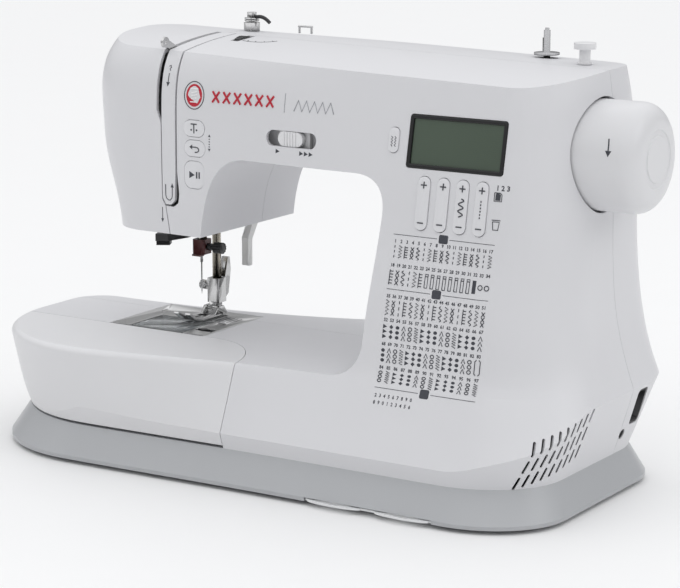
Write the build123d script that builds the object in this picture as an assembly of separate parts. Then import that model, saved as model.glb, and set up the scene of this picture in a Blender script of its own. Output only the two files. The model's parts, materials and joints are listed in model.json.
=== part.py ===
from build123d import *
from math import atan2, cos, degrees, pi, radians, sin, sqrt
import os

# Free-arm electronic sewing machine, in millimetres, +Z up, +X to the handwheel, -Y to the person sewing.
# The needle line is at (NEEDLE_X, NEEDLE_Y). The finished parts are moved so that the origin is the middle
# of the whole machine's footprint box, on the table.

# ---- driving dimensions: overall shape ----
BED_TOP = 80.0            # height of the sewing bed
SEAM_Z = 25.0             # seam between the casings and the base tray
FOOT_H = 3.0              # rubber feet under the tray
NEEDLE_X = -106.0
NEEDLE_Y = 15.0
SPLIT_Y = 27.0            # parting plane of the front and rear casings
WALL = 2.6                # wall of every moulded casing
GAP = 0.5                 # gap between neighbouring covers
X_MID = 60.0              # where the bed's outline meets the column's outline
BED_LEFT = -230.0         # left end of the bed
HEAD_FLOOR = 152.0        # underside of the head
SHAFT_Y = 15.0            # main shaft axis
SHAFT_Z = 223.0
ROOF_CREST_Y = 40.0       # highest line of the top cover
ROOF_CREST_Z = 280.5
ROOF_R = 385.0            # crown of the top cover
ROOF_TILT = 1.45          # degrees that the top falls towards the handwheel
COLUMN_LEFT = 87.0        # column face beside the harp space
ARM_UNDER = 208.0         # underside of the arm

# Sections of the body by height: (z, value) pairs, straight between them.
COLUMN_FRONT = [(25, -106), (38, -100), (55, -91.5), (80, -80), (110, -73), (139, -67), (165, -60.5),
                (196, -54.5), (225, -49), (247, -44.5), (262, -41), (274, -38), (292, -34)]
RIGHT_END = [(25, 243), (38, 238), (55, 232), (80, 223), (110, 214.5), (139, 210.5), (165, 209.3),
             (196, 209), (225, 208.7), (247, 207.6), (262, 206.2), (274, 204.4), (292, 201)]
COLUMN_BACK = [(25, 93), (55, 91), (80, 89), (139, 87), (196, 84), (247, 79), (274, 75), (292, 72)]
HEAD_FRONT = [(80, -45), (225, -45), (247, -44.6), (262, -42), (274, -36), (284, -26), (292, -14)]
HEAD_BACK = [(80, 60), (139, 63), (225, 65), (247, 64), (262, 61), (274, 56), (284, 48), (292, 40)]
HEAD_LEFT = [(80, -147), (152, -147), (165, -149.5), (196, -158), (225, -162), (247, -163.3),
             (262, -163), (274, -161), (292, -156)]
TUB_LEFT = [(25, -217), (38, -222), (55, -226), (75, BED_LEFT), (80, BED_LEFT)]
TUB_FRONT = [(25, -104), (38, -105.5), (55, -107), (80, -109)]
TUB_BACK = [(25, 44), (80, 46)]
CORNER_X = [(80, 62), (110, 54), (165, 46), (196, 40), (292, 38)]
CORNER_Y = [(80, 56), (165, 60), (292, 56)]
UPPER_LEVELS = [80, 110, 139, 165, 196, 225, 247, 262, 274, 284, 292]
TUB_LEVELS = [25, 38, 55, 68, 75]
RIM_LEVELS = [(75, 0.0), (78.2, 1.0), (80, 4.0)]     # soft top edge of the bed: height, inset

# Sloping band between the seam and the belt crease: outline at the seam, and how fast it grows going up.
SEAM_LEFT, SEAM_FRONT, SEAM_COLUMN_FRONT, SEAM_RIGHT = -216.0, -101.5, -98.0, 213.0
SEAM_BACK, SEAM_ARM_BACK = 84.0, 40.0
BAND_TOP = 85.0
BAND_GROW_LEFT, BAND_GROW_FRONT, BAND_GROW_RIGHT, BAND_GROW_BACK = 0.46, 0.30, 0.306, 0.30

# Base tray
TRAY_FLARE_END, TRAY_FLARE_FRONT, TRAY_FLARE_BACK = 9.0, 11.5, 8.0
TRAY_LIP = 2.5
TRAY_WALL = 2.6
DECK_T = 3.0
ARM_GAP_Z = 38.0          # underside of the free arm
ARM_ROOT_X = -66.0        # where the free arm joins the wide bed

# Extension table seam
TABLE_SEAM_Y = -32.0
TABLE_ROOT_X = -62.0
TABLE_FLOOR = 27.0
TABLE_GAP = 0.5

# Needle plate
PLATE_X0, PLATE_X1 = -153.0, -72.0
PLATE_Y0, PLATE_Y1 = TABLE_SEAM_Y + 1.5, 47.0 - 6.0
PLATE_T = 1.6
PLATE_GAP = 0.3
PLATE_SCREW_R = 2.0
COVER_X0, COVER_X1 = -137.0, -91.0
COVER_Y1 = 8.5
COVER_T = 1.6

# Shafts and drive
SHAFT_R = 5.0
RUN = 0.05                # radial clearance of a shaft in its bush
BUSH_R = 7.5
BUSH_L = 16.0
BUSH_SEAT = 0.02
SHAFT_X0, SHAFT_X1 = -84.0, 232.0
BUSH_XS = (-73.0, 150.0)
WHEEL_R = 35.5
WHEEL_X0, WHEEL_X1 = 198.5, 245.0
RECESS_R = WHEEL_R + 1.6
RECESS_X = 195.5
PULLEY_X = 96.0
PULLEY_W = 11.0
PULLEY_R = 15.0           # timing pulleys of both shafts, equal so that they turn together
PULLEY_TEETH = 24
BELT_T = 1.6
LOWER_Y, LOWER_Z = 15.0, 52.0
LOWER_X0, LOWER_X1 = -84.0, 126.0
LOWER_BUSH_XS = (-62.0, 112.0)
HOOK_X, HOOK_Y = -114.0, NEEDLE_Y - 17.0
HOOK_R = 17.0
HOOK_GEAR_R = 10.8        # gear on the lower shaft; it has twice the teeth of the hook's pinion
HOOK_GEAR_TEETH = 26
HOOK_PINION_R = HOOK_GEAR_R / 2
HOOK_Z0, HOOK_Z1 = 63.2, 76.0
CASE_TOP = 76.6
MOTOR_Y, MOTOR_Z = 40.0, 96.0
MOTOR_X0, MOTOR_L, MOTOR_R = 126.0, 62.0, 24.0
MOTOR_PULLEY_R = 5.0
DRIVE_PULLEY_R = 13.0
MOTOR_PULLEY_X = 114.0

# Needle and presser
BAR_R = 3.3
NEEDLE_TIP = 98.0
CLAMP_Z0, CLAMP_Z1 = 127.0, 137.5
PRESSER_Y = NEEDLE_Y + 16.0
PRESSER_R = 3.15
LEVER_X = -97.6
LEVER_T = 2.0
LEVER_PIVOT = (45.0, 238.0)
LEVER_EYE = (-37.0, 281.5)
CARRIER_ZS = (158.0, 189.0)
CARRIER_T = 8.0
PLATE_X_HEAD = -73.0      # upright plate of the arm frame in the head
HEAD_PLATE_T = 6.0

# Controls
BUTTON_GAP = 0.35
BUTTON_PROUD = 0.9
HEAD_BUTTONS = {
    "needle_position_button": (-68.0, 226.0, 17.0, 11.0, 5.4),
    "reverse_button": (-67.5, 212.5, 17.0, 11.0, 5.4),
    "start_stop_button": (-68.0, 194.5, 16.0, 18.5, 5.5),
}
KEY_XS = (116.0, 130.0, 144.0, 158.0)
KEY_Z, KEY_W, KEY_H = 193.5, 8.6, 34.0
MIRROR_X, MIRROR_Z, MIRROR_W, MIRROR_H = 90.5, 231.0, 7.0, 16.0
LCD_X0, LCD_X1, LCD_Z = 103.5, 168.5, 231.5
LCD_H = 29.0
BEZEL_W = 2.4
SPEED_X, SPEED_Z, SPEED_L, SPEED_H = 11.5, 225.0, 40.0, 10.5
KNOB_W = 19.0
KNOB_REST = -1.0

# Top of the machine
WINDER_X, WINDER_Y = 143.0, 58.0
WINDER_HOLE_R = 5.0
WINDER_SHIFT = 3.0        # the spindle slides this far towards its stop to start winding
WINDER_ARM_Z = 252.0      # underside of the arm that carries the spindle
STOP_X, STOP_Y = 180.0, 40.0
STUD_X, STUD_Y = -84.0, 47.0
DIAL_X, DIAL_Y = -68.0, 13.0
DIAL_R, DIAL_W = 15.0, 5.0

# Inlet and pedal jack, on the right end
INLET_Y, INLET_Z, INLET_W, INLET_H = 44.0, 55.0, 13.0, 25.0
JACK_Y, JACK_Z, JACK_R = 30.5, 38.0, 3.4

# Reference tray under the front
REF_X0, REF_X1 = 62.0, 155.0
REF_T = 1.4
REF_OUT = 3.4

CENTRE_X = (BED_LEFT + WHEEL_X1) / 2
CENTRE_Y = (SEAM_FRONT - TRAY_FLARE_FRONT + SEAM_BACK + TRAY_FLARE_BACK) / 2
SHIFT = Pos(-CENTRE_X, -CENTRE_Y, 0)


# ---- helpers ----
def at(table, z):
    """Value of a (z, value) table at height z, straight between its rows and level past its ends."""
    if z <= table[0][0]:
        return table[0][1]
    for (z0, v0), (z1, v1) in zip(table, table[1:]):
        if z <= z1:
            return v0 + (v1 - v0) * (z - z0) / (z1 - z0)
    return table[-1][1]


def quarter(a, corner, b):
    """Rounded corner from a to b, tangent to the lines towards the corner point."""
    k = 0.5523
    ca = (a[0] + (corner[0] - a[0]) * k, a[1] + (corner[1] - a[1]) * k)
    cb = (b[0] + (corner[0] - b[0]) * k, b[1] + (corner[1] - b[1]) * k)
    return Bezier(a, ca, cb, b)


def outline(z, left, front, mid_front, right, back, arm_back, r_left, r_front, r_back, r_arm, blend):
    """Closed plan outline at height z: a rounded left part that blends into the column at X_MID."""
    left_y = front + r_left[1]
    start = (left + r_left[0], front)
    b0, b1 = blend
    edges = [
        quarter((left, left_y), (left, front), start),
        Bezier(start, (b0, front), (b1, mid_front), (X_MID, mid_front)),
        Line((X_MID, mid_front), (right - r_front[0], mid_front)),
        quarter((right - r_front[0], mid_front), (right, mid_front), (right, mid_front + r_front[1])),
        Line((right, mid_front + r_front[1]), (right, back - r_back)),
        quarter((right, back - r_back), (right, back), (right - r_back, back)),
        Line((right - r_back, back), (X_MID, back)),
        Bezier((X_MID, back), (0, back), (-30, arm_back), (left + r_arm, arm_back)),
        quarter((left + r_arm, arm_back), (left, arm_back), (left, arm_back - r_arm)),
        Line((left, arm_back - r_arm), (left, left_y)),
    ]
    return Pos(0, 0, z) * Wire(edges)


def tub_outline(z, t, rim=0.0):
    """Bed outline at height z, inset by t all round and by rim on the bed's own edges."""
    left = at(TUB_LEFT, z) + t + rim
    front = at(TUB_FRONT, z) + t + rim
    back = at(TUB_BACK, z) - t - rim
    return outline(z, left, front, at(COLUMN_FRONT, z) + t, at(RIGHT_END, z) - t,
                   at(COLUMN_BACK, z) - t, back, (100 - t - rim, 94 - t - rim), (62 - t, 56 - t),
                   30 - t, 28 - t - rim, (-85, -30))


def upper_outline(z, t):
    """Outline of the column, arm and head at height z, inset by t."""
    return outline(z, at(HEAD_LEFT, z) + t, at(HEAD_FRONT, z) + t, at(COLUMN_FRONT, z) + t,
                   at(RIGHT_END, z) - t, at(COLUMN_BACK, z) - t, at(HEAD_BACK, z) - t,
                   (34 - t, 34 - t), (at(CORNER_X, z) - t, at(CORNER_Y, z) - t), 30 - t, 24 - t, (-20, 20))


def band_outline(z, t, flare=(0.0, 0.0, 0.0)):
    """Outline of the sloping band at height z, level below the seam; flare widens ends, front and back."""
    up = max(z - SEAM_Z, 0.0)
    ends, front_out, back_out = flare
    return outline(z, SEAM_LEFT - BAND_GROW_LEFT * up + t - ends,
                   SEAM_FRONT - BAND_GROW_FRONT * up + t - front_out,
                   SEAM_COLUMN_FRONT - BAND_GROW_FRONT * up + t - front_out,
                   SEAM_RIGHT + BAND_GROW_RIGHT * up - t + ends,
                   SEAM_BACK + BAND_GROW_BACK * up - t + back_out,
                   SEAM_ARM_BACK + BAND_GROW_BACK * up - t + back_out,
                   (92 - t, 88 - t), (60 - t, 52 - t), 45 - t, 30 - t, (-85, -30))


def skin(wires, ruled=False):
    """Solid through closed outlines."""
    return Solid.make_loft(wires, ruled)


def box(x0, x1, y0, y1, z0, z1):
    """Box between two corners."""
    return Pos((x0 + x1) / 2, (y0 + y1) / 2, (z0 + z1) / 2) * Box(x1 - x0, y1 - y0, z1 - z0)


def rod_x(x0, x1, y, z, r):
    """Cylinder along X."""
    return Pos((x0 + x1) / 2, y, z) * Rot(0, 90, 0) * Cylinder(r, x1 - x0)


def rod_y(x, y0, y1, z, r):
    """Cylinder along Y."""
    return Pos(x, (y0 + y1) / 2, z) * Rot(90, 0, 0) * Cylinder(r, y1 - y0)


def rod_z(x, y, z0, z1, r):
    """Cylinder along Z."""
    return Pos(x, y, (z0 + z1) / 2) * Cylinder(r, z1 - z0)


def prism_y(points, y0, y1):
    """Polygon of (x, z) points, extruded from y0 to y1."""
    face = make_face(Polyline([(x, 0, z) for x, z in points], close=True))
    return Pos(0, y0, 0) * extrude(face, amount=y1 - y0, dir=(0, 1, 0))


def prism_x(points, x0, x1):
    """Polygon of (y, z) points, extruded from x0 to x1."""
    face = make_face(Polyline([(0, y, z) for y, z in points], close=True))
    return Pos(x0, 0, 0) * extrude(face, amount=x1 - x0, dir=(1, 0, 0))


def prism_z(points, z0, z1):
    """Polygon of (x, y) points, extruded from z0 to z1."""
    face = make_face(Polyline([(x, y, 0) for x, y in points], close=True))
    return Pos(0, 0, z0) * extrude(face, amount=z1 - z0, dir=(0, 0, 1))


def front_plane(x, z):
    """Plane on the column's front face at (x, z), with its normal pointing out of the machine."""
    lean = atan2(at(COLUMN_FRONT, z + 12) - at(COLUMN_FRONT, z - 12), 24)
    return Plane(origin=(x, at(COLUMN_FRONT, z), z), x_dir=(1, 0, 0), z_dir=(0, -cos(lean), sin(lean)))


def head_plane(x, z):
    """Plane on the head's upright front face at (x, z)."""
    return Plane(origin=(x, at(HEAD_FRONT, z), z), x_dir=(1, 0, 0), z_dir=(0, -1, 0))


def pad(plane, w, h, r, inside, outside):
    """Rounded slab on a plane, from inside mm behind it to outside mm in front of it."""
    return plane * Pos(0, 0, -inside) * extrude(RectangleRounded(w, h, r), amount=inside + outside)


def one(shape):
    """The largest solid of a cut shape."""
    return sorted(shape.solids(), key=lambda s: s.volume)[-1]


# ---- outer body ----
def harp_profile(t):
    """Space between head, arm, column and bed, grown by t into the walls."""
    left = -63 - t
    under = ARM_UNDER + t
    side = COLUMN_LEFT + t
    foot = BED_TOP - t
    edges = [
        Line((-400, 0, foot), (-400, 0, HEAD_FLOOR + t)),
        Line((-400, 0, HEAD_FLOOR + t), (left, 0, HEAD_FLOOR + t)),
        Bezier((left, 0, HEAD_FLOOR + t), (left + 3, 0, 184 + t), (left + 12, 0, under), (-26, 0, under)),
        Line((-26, 0, under), (side - 24, 0, under)),
        Bezier((side - 24, 0, under), (side - 8, 0, under), (side, 0, under - 8), (side, 0, under - 24)),
        Line((side, 0, under - 24), (side - 4, 0, foot + 24)),
        Bezier((side - 4, 0, foot + 24), (side - 4, 0, foot + 9), (side - 13, 0, foot), (side - 28, 0, foot)),
        Line((side - 28, 0, foot), (-400, 0, foot)),
    ]
    return Pos(0, -200, 0) * extrude(make_face(Wire(edges)), amount=400, dir=(0, 1, 0))


def roof(t):
    """Everything above the crowned top cover, lowered by t."""
    crest = ROOF_CREST_Z - t
    drop = 200 ** 2 / (2 * ROOF_R) + 1
    arc = ThreePointArc((0, ROOF_CREST_Y - 200, crest - drop), (0, ROOF_CREST_Y, crest),
                        (0, ROOF_CREST_Y + 200, crest - drop))
    top = crest + 120
    sides = Polyline((0, ROOF_CREST_Y + 200, crest - drop), (0, ROOF_CREST_Y + 200, top),
                     (0, ROOF_CREST_Y - 200, top), (0, ROOF_CREST_Y - 200, crest - drop))
    edges = [arc] + list(sides.edges())
    block = Pos(-300, 0, 0) * extrude(make_face(Wire(edges)), amount=640, dir=(1, 0, 0))
    hinge_x = (BED_LEFT + WHEEL_X1) / 2
    return Pos(hinge_x, 0, ROOF_CREST_Z) * Rot(0, ROOF_TILT, 0) * Pos(-hinge_x, 0, -ROOF_CREST_Z) * block


def body(t, low):
    """Whole outer body inset by t, from height low up; t=0 is the outer skin."""
    tub = skin([tub_outline(z, t) for z in TUB_LEVELS])
    rim = skin([tub_outline(z - t, t, inset) for z, inset in RIM_LEVELS])
    if t > 0:
        tub = skin([tub_outline(z, t) for z in TUB_LEVELS[:-1] + [TUB_LEVELS[-1] - t]])
    band = skin([band_outline(low, t), band_outline(BAND_TOP, t)], ruled=True)
    lower = (tub + rim) & band
    upper = skin([upper_outline(BED_TOP - t, t)] + [upper_outline(z, t) for z in UPPER_LEVELS[1:]])
    upper = upper - harp_profile(t) - roof(t)
    return lower + upper



def table_prism(g):
    """Plan region of the extension table, grown by g."""
    seam = TABLE_SEAM_Y + g
    root = TABLE_ROOT_X
    edges = [
        Line((-300, seam), (root, seam)),
        Bezier((root, seam), (root + 26, seam), (-14 + g, -55), (-8 + g, -84)),
        Line((-8 + g, -84), (-12 + g, -140)),
        Line((-12 + g, -140), (-300, -140)),
        Line((-300, -140), (-300, seam)),
    ]
    return Pos(0, 0, 10) * extrude(make_face(Wire(edges)), amount=120, dir=(0, 0, 1))


def arm_gap(g):
    """Open space under the free arm, grown by g."""
    return box(-300, ARM_ROOT_X + g, -200, 200, -10, ARM_GAP_Z + g)


COVER_EDGE = [(-250, 100), (-89.3, 100), (-89.3, 150), (-93.2, 171.6), (-95.9, 175.5), (-96.3, 228),
              (-99.6, 236), (-99.6, 300), (-250, 300)]
STRIP_EDGE = [(-95.4, 300), (-95.4, 228), (-95.1, 176.5), (-92.3, 172.3), (-88.2, 172.3), (-85.0, 175.5),
              (-84.2, 195), (-84.2, 300)]
CASING_EDGE = [(-300, -10), (320, -10), (320, 320), (-82.9, 320), (-82.6, 195), (-81.0, 180),
               (-81.8, 174.0), (-86.0, 170.8), (-92.4, 171.2), (-88.6, 150), (-88.6, 100), (-300, 100)]
REAR_COVER_X = -90.0


def recess_cup(grow):
    """Round recess that the handwheel turns in; grow thickens it into the cup's outside."""
    return rod_x(RECESS_X - grow, WHEEL_X1 + 10, SHAFT_Y, SHAFT_Z, RECESS_R + grow)


def vent_cuts():
    """Field of slanted cooling slots in the lower right front corner."""
    plane = Plane(origin=(226, -66, 47), x_dir=(sin(radians(38)), cos(radians(38)), 0),
                  z_dir=(cos(radians(38)), -sin(radians(38)), 0))
    cuts = []
    for row in range(3):
        for col in range(9):
            u = (col - 4) * 6.0 + (row - 1) * 4.0
            v = (row - 1) * 11.5 + (col - 4) * 1.6
            slot = extrude(SlotOverall(9.5, 1.9, rotation=70), amount=40)
            cuts.append(plane * Pos(u, v, -40) * slot)
    return cuts


def button_holes():
    """Holes of the head buttons, rocker keys, mirror button, display and speed slider."""
    g = 2 * BUTTON_GAP
    cuts = [pad(head_plane(x, z), w + g, h + g, r + BUTTON_GAP, 8, 8)
            for x, z, w, h, r in HEAD_BUTTONS.values()]
    cuts += [pad(front_plane(x, KEY_Z), KEY_W + g, KEY_H + g, KEY_W / 2, 8, 8) for x in KEY_XS]
    cuts.append(pad(front_plane(MIRROR_X, MIRROR_Z), MIRROR_W + g, MIRROR_H + g, MIRROR_W / 2, 8, 8))
    cuts.append(pad(display_plane(), display_w() + 2 * BEZEL_W + g, LCD_H + 2 * BEZEL_W + g, 2.2, 9, 9))
    cuts.append(pad(head_plane(SPEED_X, SPEED_Z), SPEED_L, SPEED_H, SPEED_H / 2 - 0.1, 8, 8))
    return cuts


def display_plane():
    """Plane of the display window."""
    return front_plane((LCD_X0 + LCD_X1) / 2, LCD_Z)


def display_w():
    """Width of the display glass."""
    return LCD_X1 - LCD_X0


def roof_z(x, y):
    """Height of the top cover at (x, y)."""
    hinge_x = (BED_LEFT + WHEEL_X1) / 2
    crown = ROOF_R - sqrt(ROOF_R ** 2 - (y - ROOF_CREST_Y) ** 2)
    return ROOF_CREST_Z - (x - hinge_x) * sin(radians(ROOF_TILT)) - crown


def shared_cuts():
    """Openings cut through the casings, whichever piece they fall in."""
    wide = PLATE_GAP
    cuts = [
        box(PLATE_X0 - wide, PLATE_X1 + wide, PLATE_Y0 - 4, PLATE_Y1 + wide, BED_TOP - PLATE_T, BED_TOP + 4),
        box(PLATE_X0 + 5, PLATE_X1 - 2.5, PLATE_Y0 + 4, PLATE_Y1 - 5, BED_TOP - 12, BED_TOP),
        box(-120, -96, 4, 39, HEAD_FLOOR - 4, HEAD_FLOOR + 5),
        box(-124, -110, -10, 20, HEAD_FLOOR - 4, HEAD_FLOOR + 5),
        box(-99.5, -90.5, 48, 90, HEAD_FLOOR - 8, 184),
        box(-86, -74, -26, -14, HEAD_FLOOR - 4, HEAD_FLOOR + 5),
        rod_x(RECESS_X - 8, RECESS_X + 8, SHAFT_Y, SHAFT_Z, SHAFT_R + 1.2),
        rod_z(WINDER_X, WINDER_Y, 255, 300, WINDER_HOLE_R),
        box(WINDER_X, WINDER_X + WINDER_SHIFT, WINDER_Y - WINDER_HOLE_R, WINDER_Y + WINDER_HOLE_R, 255, 300),
        rod_z(WINDER_X + WINDER_SHIFT, WINDER_Y, 255, 300, WINDER_HOLE_R),
        box(DIAL_X - DIAL_W / 2 - 0.6, DIAL_X + DIAL_W / 2 + 0.6, DIAL_Y - 11.2, DIAL_Y + 11.2, 270, 300),
        pad(inlet_plane(), INLET_W + 2 * BUTTON_GAP, INLET_H + 2 * BUTTON_GAP, 3, 12, 12),
        jack_plane() * Cylinder(JACK_R + 0.2, 30),
    ]
    return cuts + vent_cuts() + button_holes()


def side_plane(y, z):
    """Plane on the sloping band of the right end, with x along +Y and its normal pointing out."""
    tilt = atan2(BAND_GROW_RIGHT, 1)
    x = SEAM_RIGHT + BAND_GROW_RIGHT * (z - SEAM_Z)
    return Plane(origin=(x, y, z), x_dir=(0, 1, 0), z_dir=(cos(tilt), 0, -sin(tilt)))


def inlet_plane():
    """Plane of the power inlet."""
    return side_plane(INLET_Y, INLET_Z)


def jack_plane():
    """Plane of the pedal jack."""
    return side_plane(JACK_Y, JACK_Z)


BOARD_FRONT = -22.0       # front face of the control board's posts
POST_XS, POST_ZS, POST_R = (97.0, 182.0), (170.0, 246.0), 2.6


def board_posts():
    """Posts that carry the control board behind the front casing."""
    return [rod_y(x, at(COLUMN_FRONT, z) + 1.0, BOARD_FRONT, z, POST_R) for x in POST_XS for z in POST_ZS]


# ---- casings ----
def casings():
    """Front casing, rear casing, face cover and threading strip, cut from one shell."""
    outer = body(0, SEAM_Z) - table_prism(0) - arm_gap(0)
    inner = body(WALL, SEAM_Z - 5) - table_prism(WALL) - arm_gap(WALL)
    cup = recess_cup(WALL) & outer
    shell = outer - inner + cup - recess_cup(0)
    shell = shell - shared_cuts()
    far = 250
    split = 0.15
    front_half = box(-300, 300, -far, SPLIT_Y - split, -10, 300)
    rear_half = box(-300, 300, SPLIT_Y + split, far, -10, 300)
    cover_zone = prism_y(COVER_EDGE, -far, SPLIT_Y) + box(-250, REAR_COVER_X, SPLIT_Y, far, 100, 300)
    front = shell & front_half & prism_y(CASING_EDGE, -far, far)
    front = one(front) + [post & outer for post in board_posts()]
    rear = one((shell & rear_half) - box(-250, REAR_COVER_X + GAP, -far, far, 100, 300))
    cover = one(shell & cover_zone)
    strip = one(shell & front_half & prism_y(STRIP_EDGE, -far, far))
    return {"front_casing": one(front), "rear_casing": rear, "face_cover": cover, "thread_strip": strip}


def extension_table():
    """Slide-off table in front of the free arm: a hollow accessory box with its mouth at the back."""
    solid = body(0, SEAM_Z) & table_prism(-TABLE_GAP)
    solid = solid - box(-300, 300, -200, 0, 0, TABLE_FLOOR)
    hollow = body(WALL, SEAM_Z) & table_prism(-TABLE_GAP - WALL)
    hollow = hollow - box(-300, 300, -200, 0, 0, TABLE_FLOOR + WALL)
    mouth = box(-200, -70, TABLE_SEAM_Y - 10, TABLE_SEAM_Y + 5, TABLE_FLOOR + 6, BED_TOP - 8)
    return one(solid - hollow - mouth)


def base_tray():
    """Flared base: a shallow tray with a deck under the free arm and the table."""
    flare = (TRAY_FLARE_END, TRAY_FLARE_FRONT, TRAY_FLARE_BACK)
    lip_top = FOOT_H + TRAY_LIP
    foot_wire = band_outline(FOOT_H, 0, flare)
    skirt = skin([band_outline(lip_top, 0, flare), band_outline(SEAM_Z, 0)], ruled=True)
    lip = extrude(make_face(foot_wire), amount=TRAY_LIP, dir=(0, 0, 1))
    hollow = skin([band_outline(lip_top + 0.5, TRAY_WALL, flare), band_outline(SEAM_Z + 0.01, TRAY_WALL)],
                  ruled=True)
    deck_zone = box(-300, ARM_ROOT_X - 2, -200, 200, SEAM_Z - DECK_T, SEAM_Z + 5)
    deck_zone = deck_zone + (table_prism(-1) & box(-300, 0, -200, 200, SEAM_Z - DECK_T, SEAM_Z + 5))
    tray = lip + skirt - (hollow - deck_zone)
    front_y = SEAM_COLUMN_FRONT - TRAY_FLARE_FRONT
    slot = box(REF_X0 - 0.8, REF_X1 + 0.8, front_y - 10, front_y + 62, FOOT_H - 1, lip_top)
    return one(tray - slot)


def rubber_feet():
    """Five round feet under the tray."""
    spots = [(-185, -45), (-185, 12), (20, -82), (190, -72), (185, 60), (30, 70)]
    return Compound([rod_z(x, y, 0, FOOT_H, 8) for x, y in spots])


def reference_tray():
    """Thin pull-out chart tray under the front, with two finger loops."""
    front_y = SEAM_COLUMN_FRONT - TRAY_FLARE_FRONT
    z0 = FOOT_H + 0.4
    plate = box(REF_X0, REF_X1, front_y + 1, front_y + 58, z0, z0 + REF_T)
    mid = (REF_X0 + REF_X1) / 2
    for x in ((REF_X0 + mid) / 2 - 2, (REF_X1 + mid) / 2 + 2):
        tab = Pos(x, front_y + 1, z0) * extrude(Ellipse(20, REF_OUT + 1), amount=REF_T)
        hole = Pos(x, front_y, z0 - 1) * extrude(Ellipse(14, REF_OUT - 1.2), amount=REF_T + 2)
        plate = plate + tab - hole
    return plate


# ---- frames, shafts and drive ----
def bore_x(x0, x1, y, z, r):
    """Cutting cylinder along X that runs past both ends."""
    return rod_x(x0 - 1, x1 + 1, y, z, r)


BEAM_Y0, BEAM_Y1 = 32.5, 40.5
UPRIGHT_X0, UPRIGHT_X1 = 90.5, 112.0
BED_BEAM_Z0, BED_BEAM_Z1 = 42.5, 60.0
ARM_BEAM_Z0, ARM_BEAM_Z1 = 212.5, 236.0
DISC_R = 18.0
CRANK_R = 15.0


def arm_frame():
    """Upper casting: beam, upright, shaft bosses, head plate and the two bar carriers."""
    frame = box(PLATE_X_HEAD + 6, 172, BEAM_Y0, BEAM_Y1, ARM_BEAM_Z0, ARM_BEAM_Z1)
    frame += box(UPRIGHT_X0, UPRIGHT_X1, BEAM_Y0, BEAM_Y1, BED_BEAM_Z1, ARM_BEAM_Z1)
    for x in BUSH_XS:
        frame += box(x, x + BUSH_L, SHAFT_Y - 9.5, BEAM_Y1, ARM_BEAM_Z0, SHAFT_Z + 11)
    frame += box(PLATE_X_HEAD, PLATE_X_HEAD + HEAD_PLATE_T, 8, BEAM_Y1 + 14, 158, ARM_BEAM_Z1)
    frame += box(PLATE_X_HEAD, PLATE_X_HEAD + 4, -28, 20, ARM_BEAM_Z1 - 1, ARM_BEAM_Z1 + 15)
    for z in CARRIER_ZS:
        frame += box(-122.5, PLATE_X_HEAD + 6, 8, BEAM_Y1, z, z + CARRIER_T)
    pivot_y, pivot_z = LEVER_PIVOT
    frame += rod_x(-94.6, PLATE_X_HEAD, pivot_y, pivot_z, 4)
    frame += rod_x(-100.6, -94.6, pivot_y, pivot_z, 2.5)
    frame += rod_x(-90.5, PLATE_X_HEAD, 58, 168, 4)
    frame += box(PLATE_X_HEAD, PLATE_X_HEAD + HEAD_PLATE_T, 45, 62, 162, 180)
    for x in BUSH_XS:
        frame -= bore_x(x, x + BUSH_L, SHAFT_Y, SHAFT_Z, BUSH_R + BUSH_SEAT)
    frame -= rod_z(NEEDLE_X, NEEDLE_Y, 150, 210, BAR_R + RUN)
    frame -= rod_z(NEEDLE_X + 1, PRESSER_Y, 150, 210, PRESSER_R + RUN)
    frame -= rod_z(-118, NEEDLE_Y, 150, 210, 2 + RUN)
    return one(frame)


def bed_frame():
    """Lower casting: beam, shaft bosses, hook bearing and the seats of the needle plate."""
    frame = box(-150, 190, BEAM_Y0, BEAM_Y1, BED_BEAM_Z0, BED_BEAM_Z1)
    for x in LOWER_BUSH_XS:
        frame += box(x, x + BUSH_L, LOWER_Y - 9.5, BEAM_Y1, BED_BEAM_Z0, LOWER_Z + 9.5)
    frame += box(-136, -123.5, HOOK_Y - 6, BEAM_Y1, 42, 46)
    frame += box(-136, HOOK_X + 6, HOOK_Y - 6, HOOK_Y + 5, 42, 46)
    for x in (PLATE_X0 + 7, PLATE_X1 - 13):
        frame += box(x, x + 6, PLATE_Y0 + 24.5, PLATE_Y1 - 6, 68, BED_TOP - PLATE_T)
        frame += box(x, x + 6, BEAM_Y0, BEAM_Y1, 55, 70)
    for x, y in plate_screw_spots():
        frame -= rod_z(x, y, 70, BED_TOP, PLATE_SCREW_R + RUN)
    for x in LOWER_BUSH_XS:
        frame -= bore_x(x, x + BUSH_L, LOWER_Y, LOWER_Z, BUSH_R + BUSH_SEAT)
    frame -= rod_z(HOOK_X, HOOK_Y, 30, 60, 3 + RUN)
    frame += box(150, 160, BEAM_Y0, BEAM_Y1, SEAM_Z - 19 + 0.3, BED_BEAM_Z0)
    frame += box(20, 30, BEAM_Y0, BEAM_Y1, SEAM_Z - 19 + 0.3, BED_BEAM_Z0)
    return one(frame)


def frame_screws():
    """Four screws that hold the upright to the bed casting, heads to the rear."""
    screws = []
    for x in (UPRIGHT_X0 + 5, UPRIGHT_X1 - 5):
        for z in (BED_BEAM_Z1 - 12, BED_BEAM_Z1 - 5):
            screws.append(rod_y(x, BEAM_Y1, BEAM_Y1 + 2.6, z, 3.0))
    return Compound(screws)


def shaft_bushes():
    """Four plain bushes for the upper and lower shafts."""
    bushes = []
    for xs, y, z in ((BUSH_XS, SHAFT_Y, SHAFT_Z), (LOWER_BUSH_XS, LOWER_Y, LOWER_Z)):
        for x in xs:
            bushes.append(rod_x(x, x + BUSH_L, y, z, BUSH_R) - bore_x(x, x + BUSH_L, y, z, SHAFT_R + RUN))
    return Compound(bushes)


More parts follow.
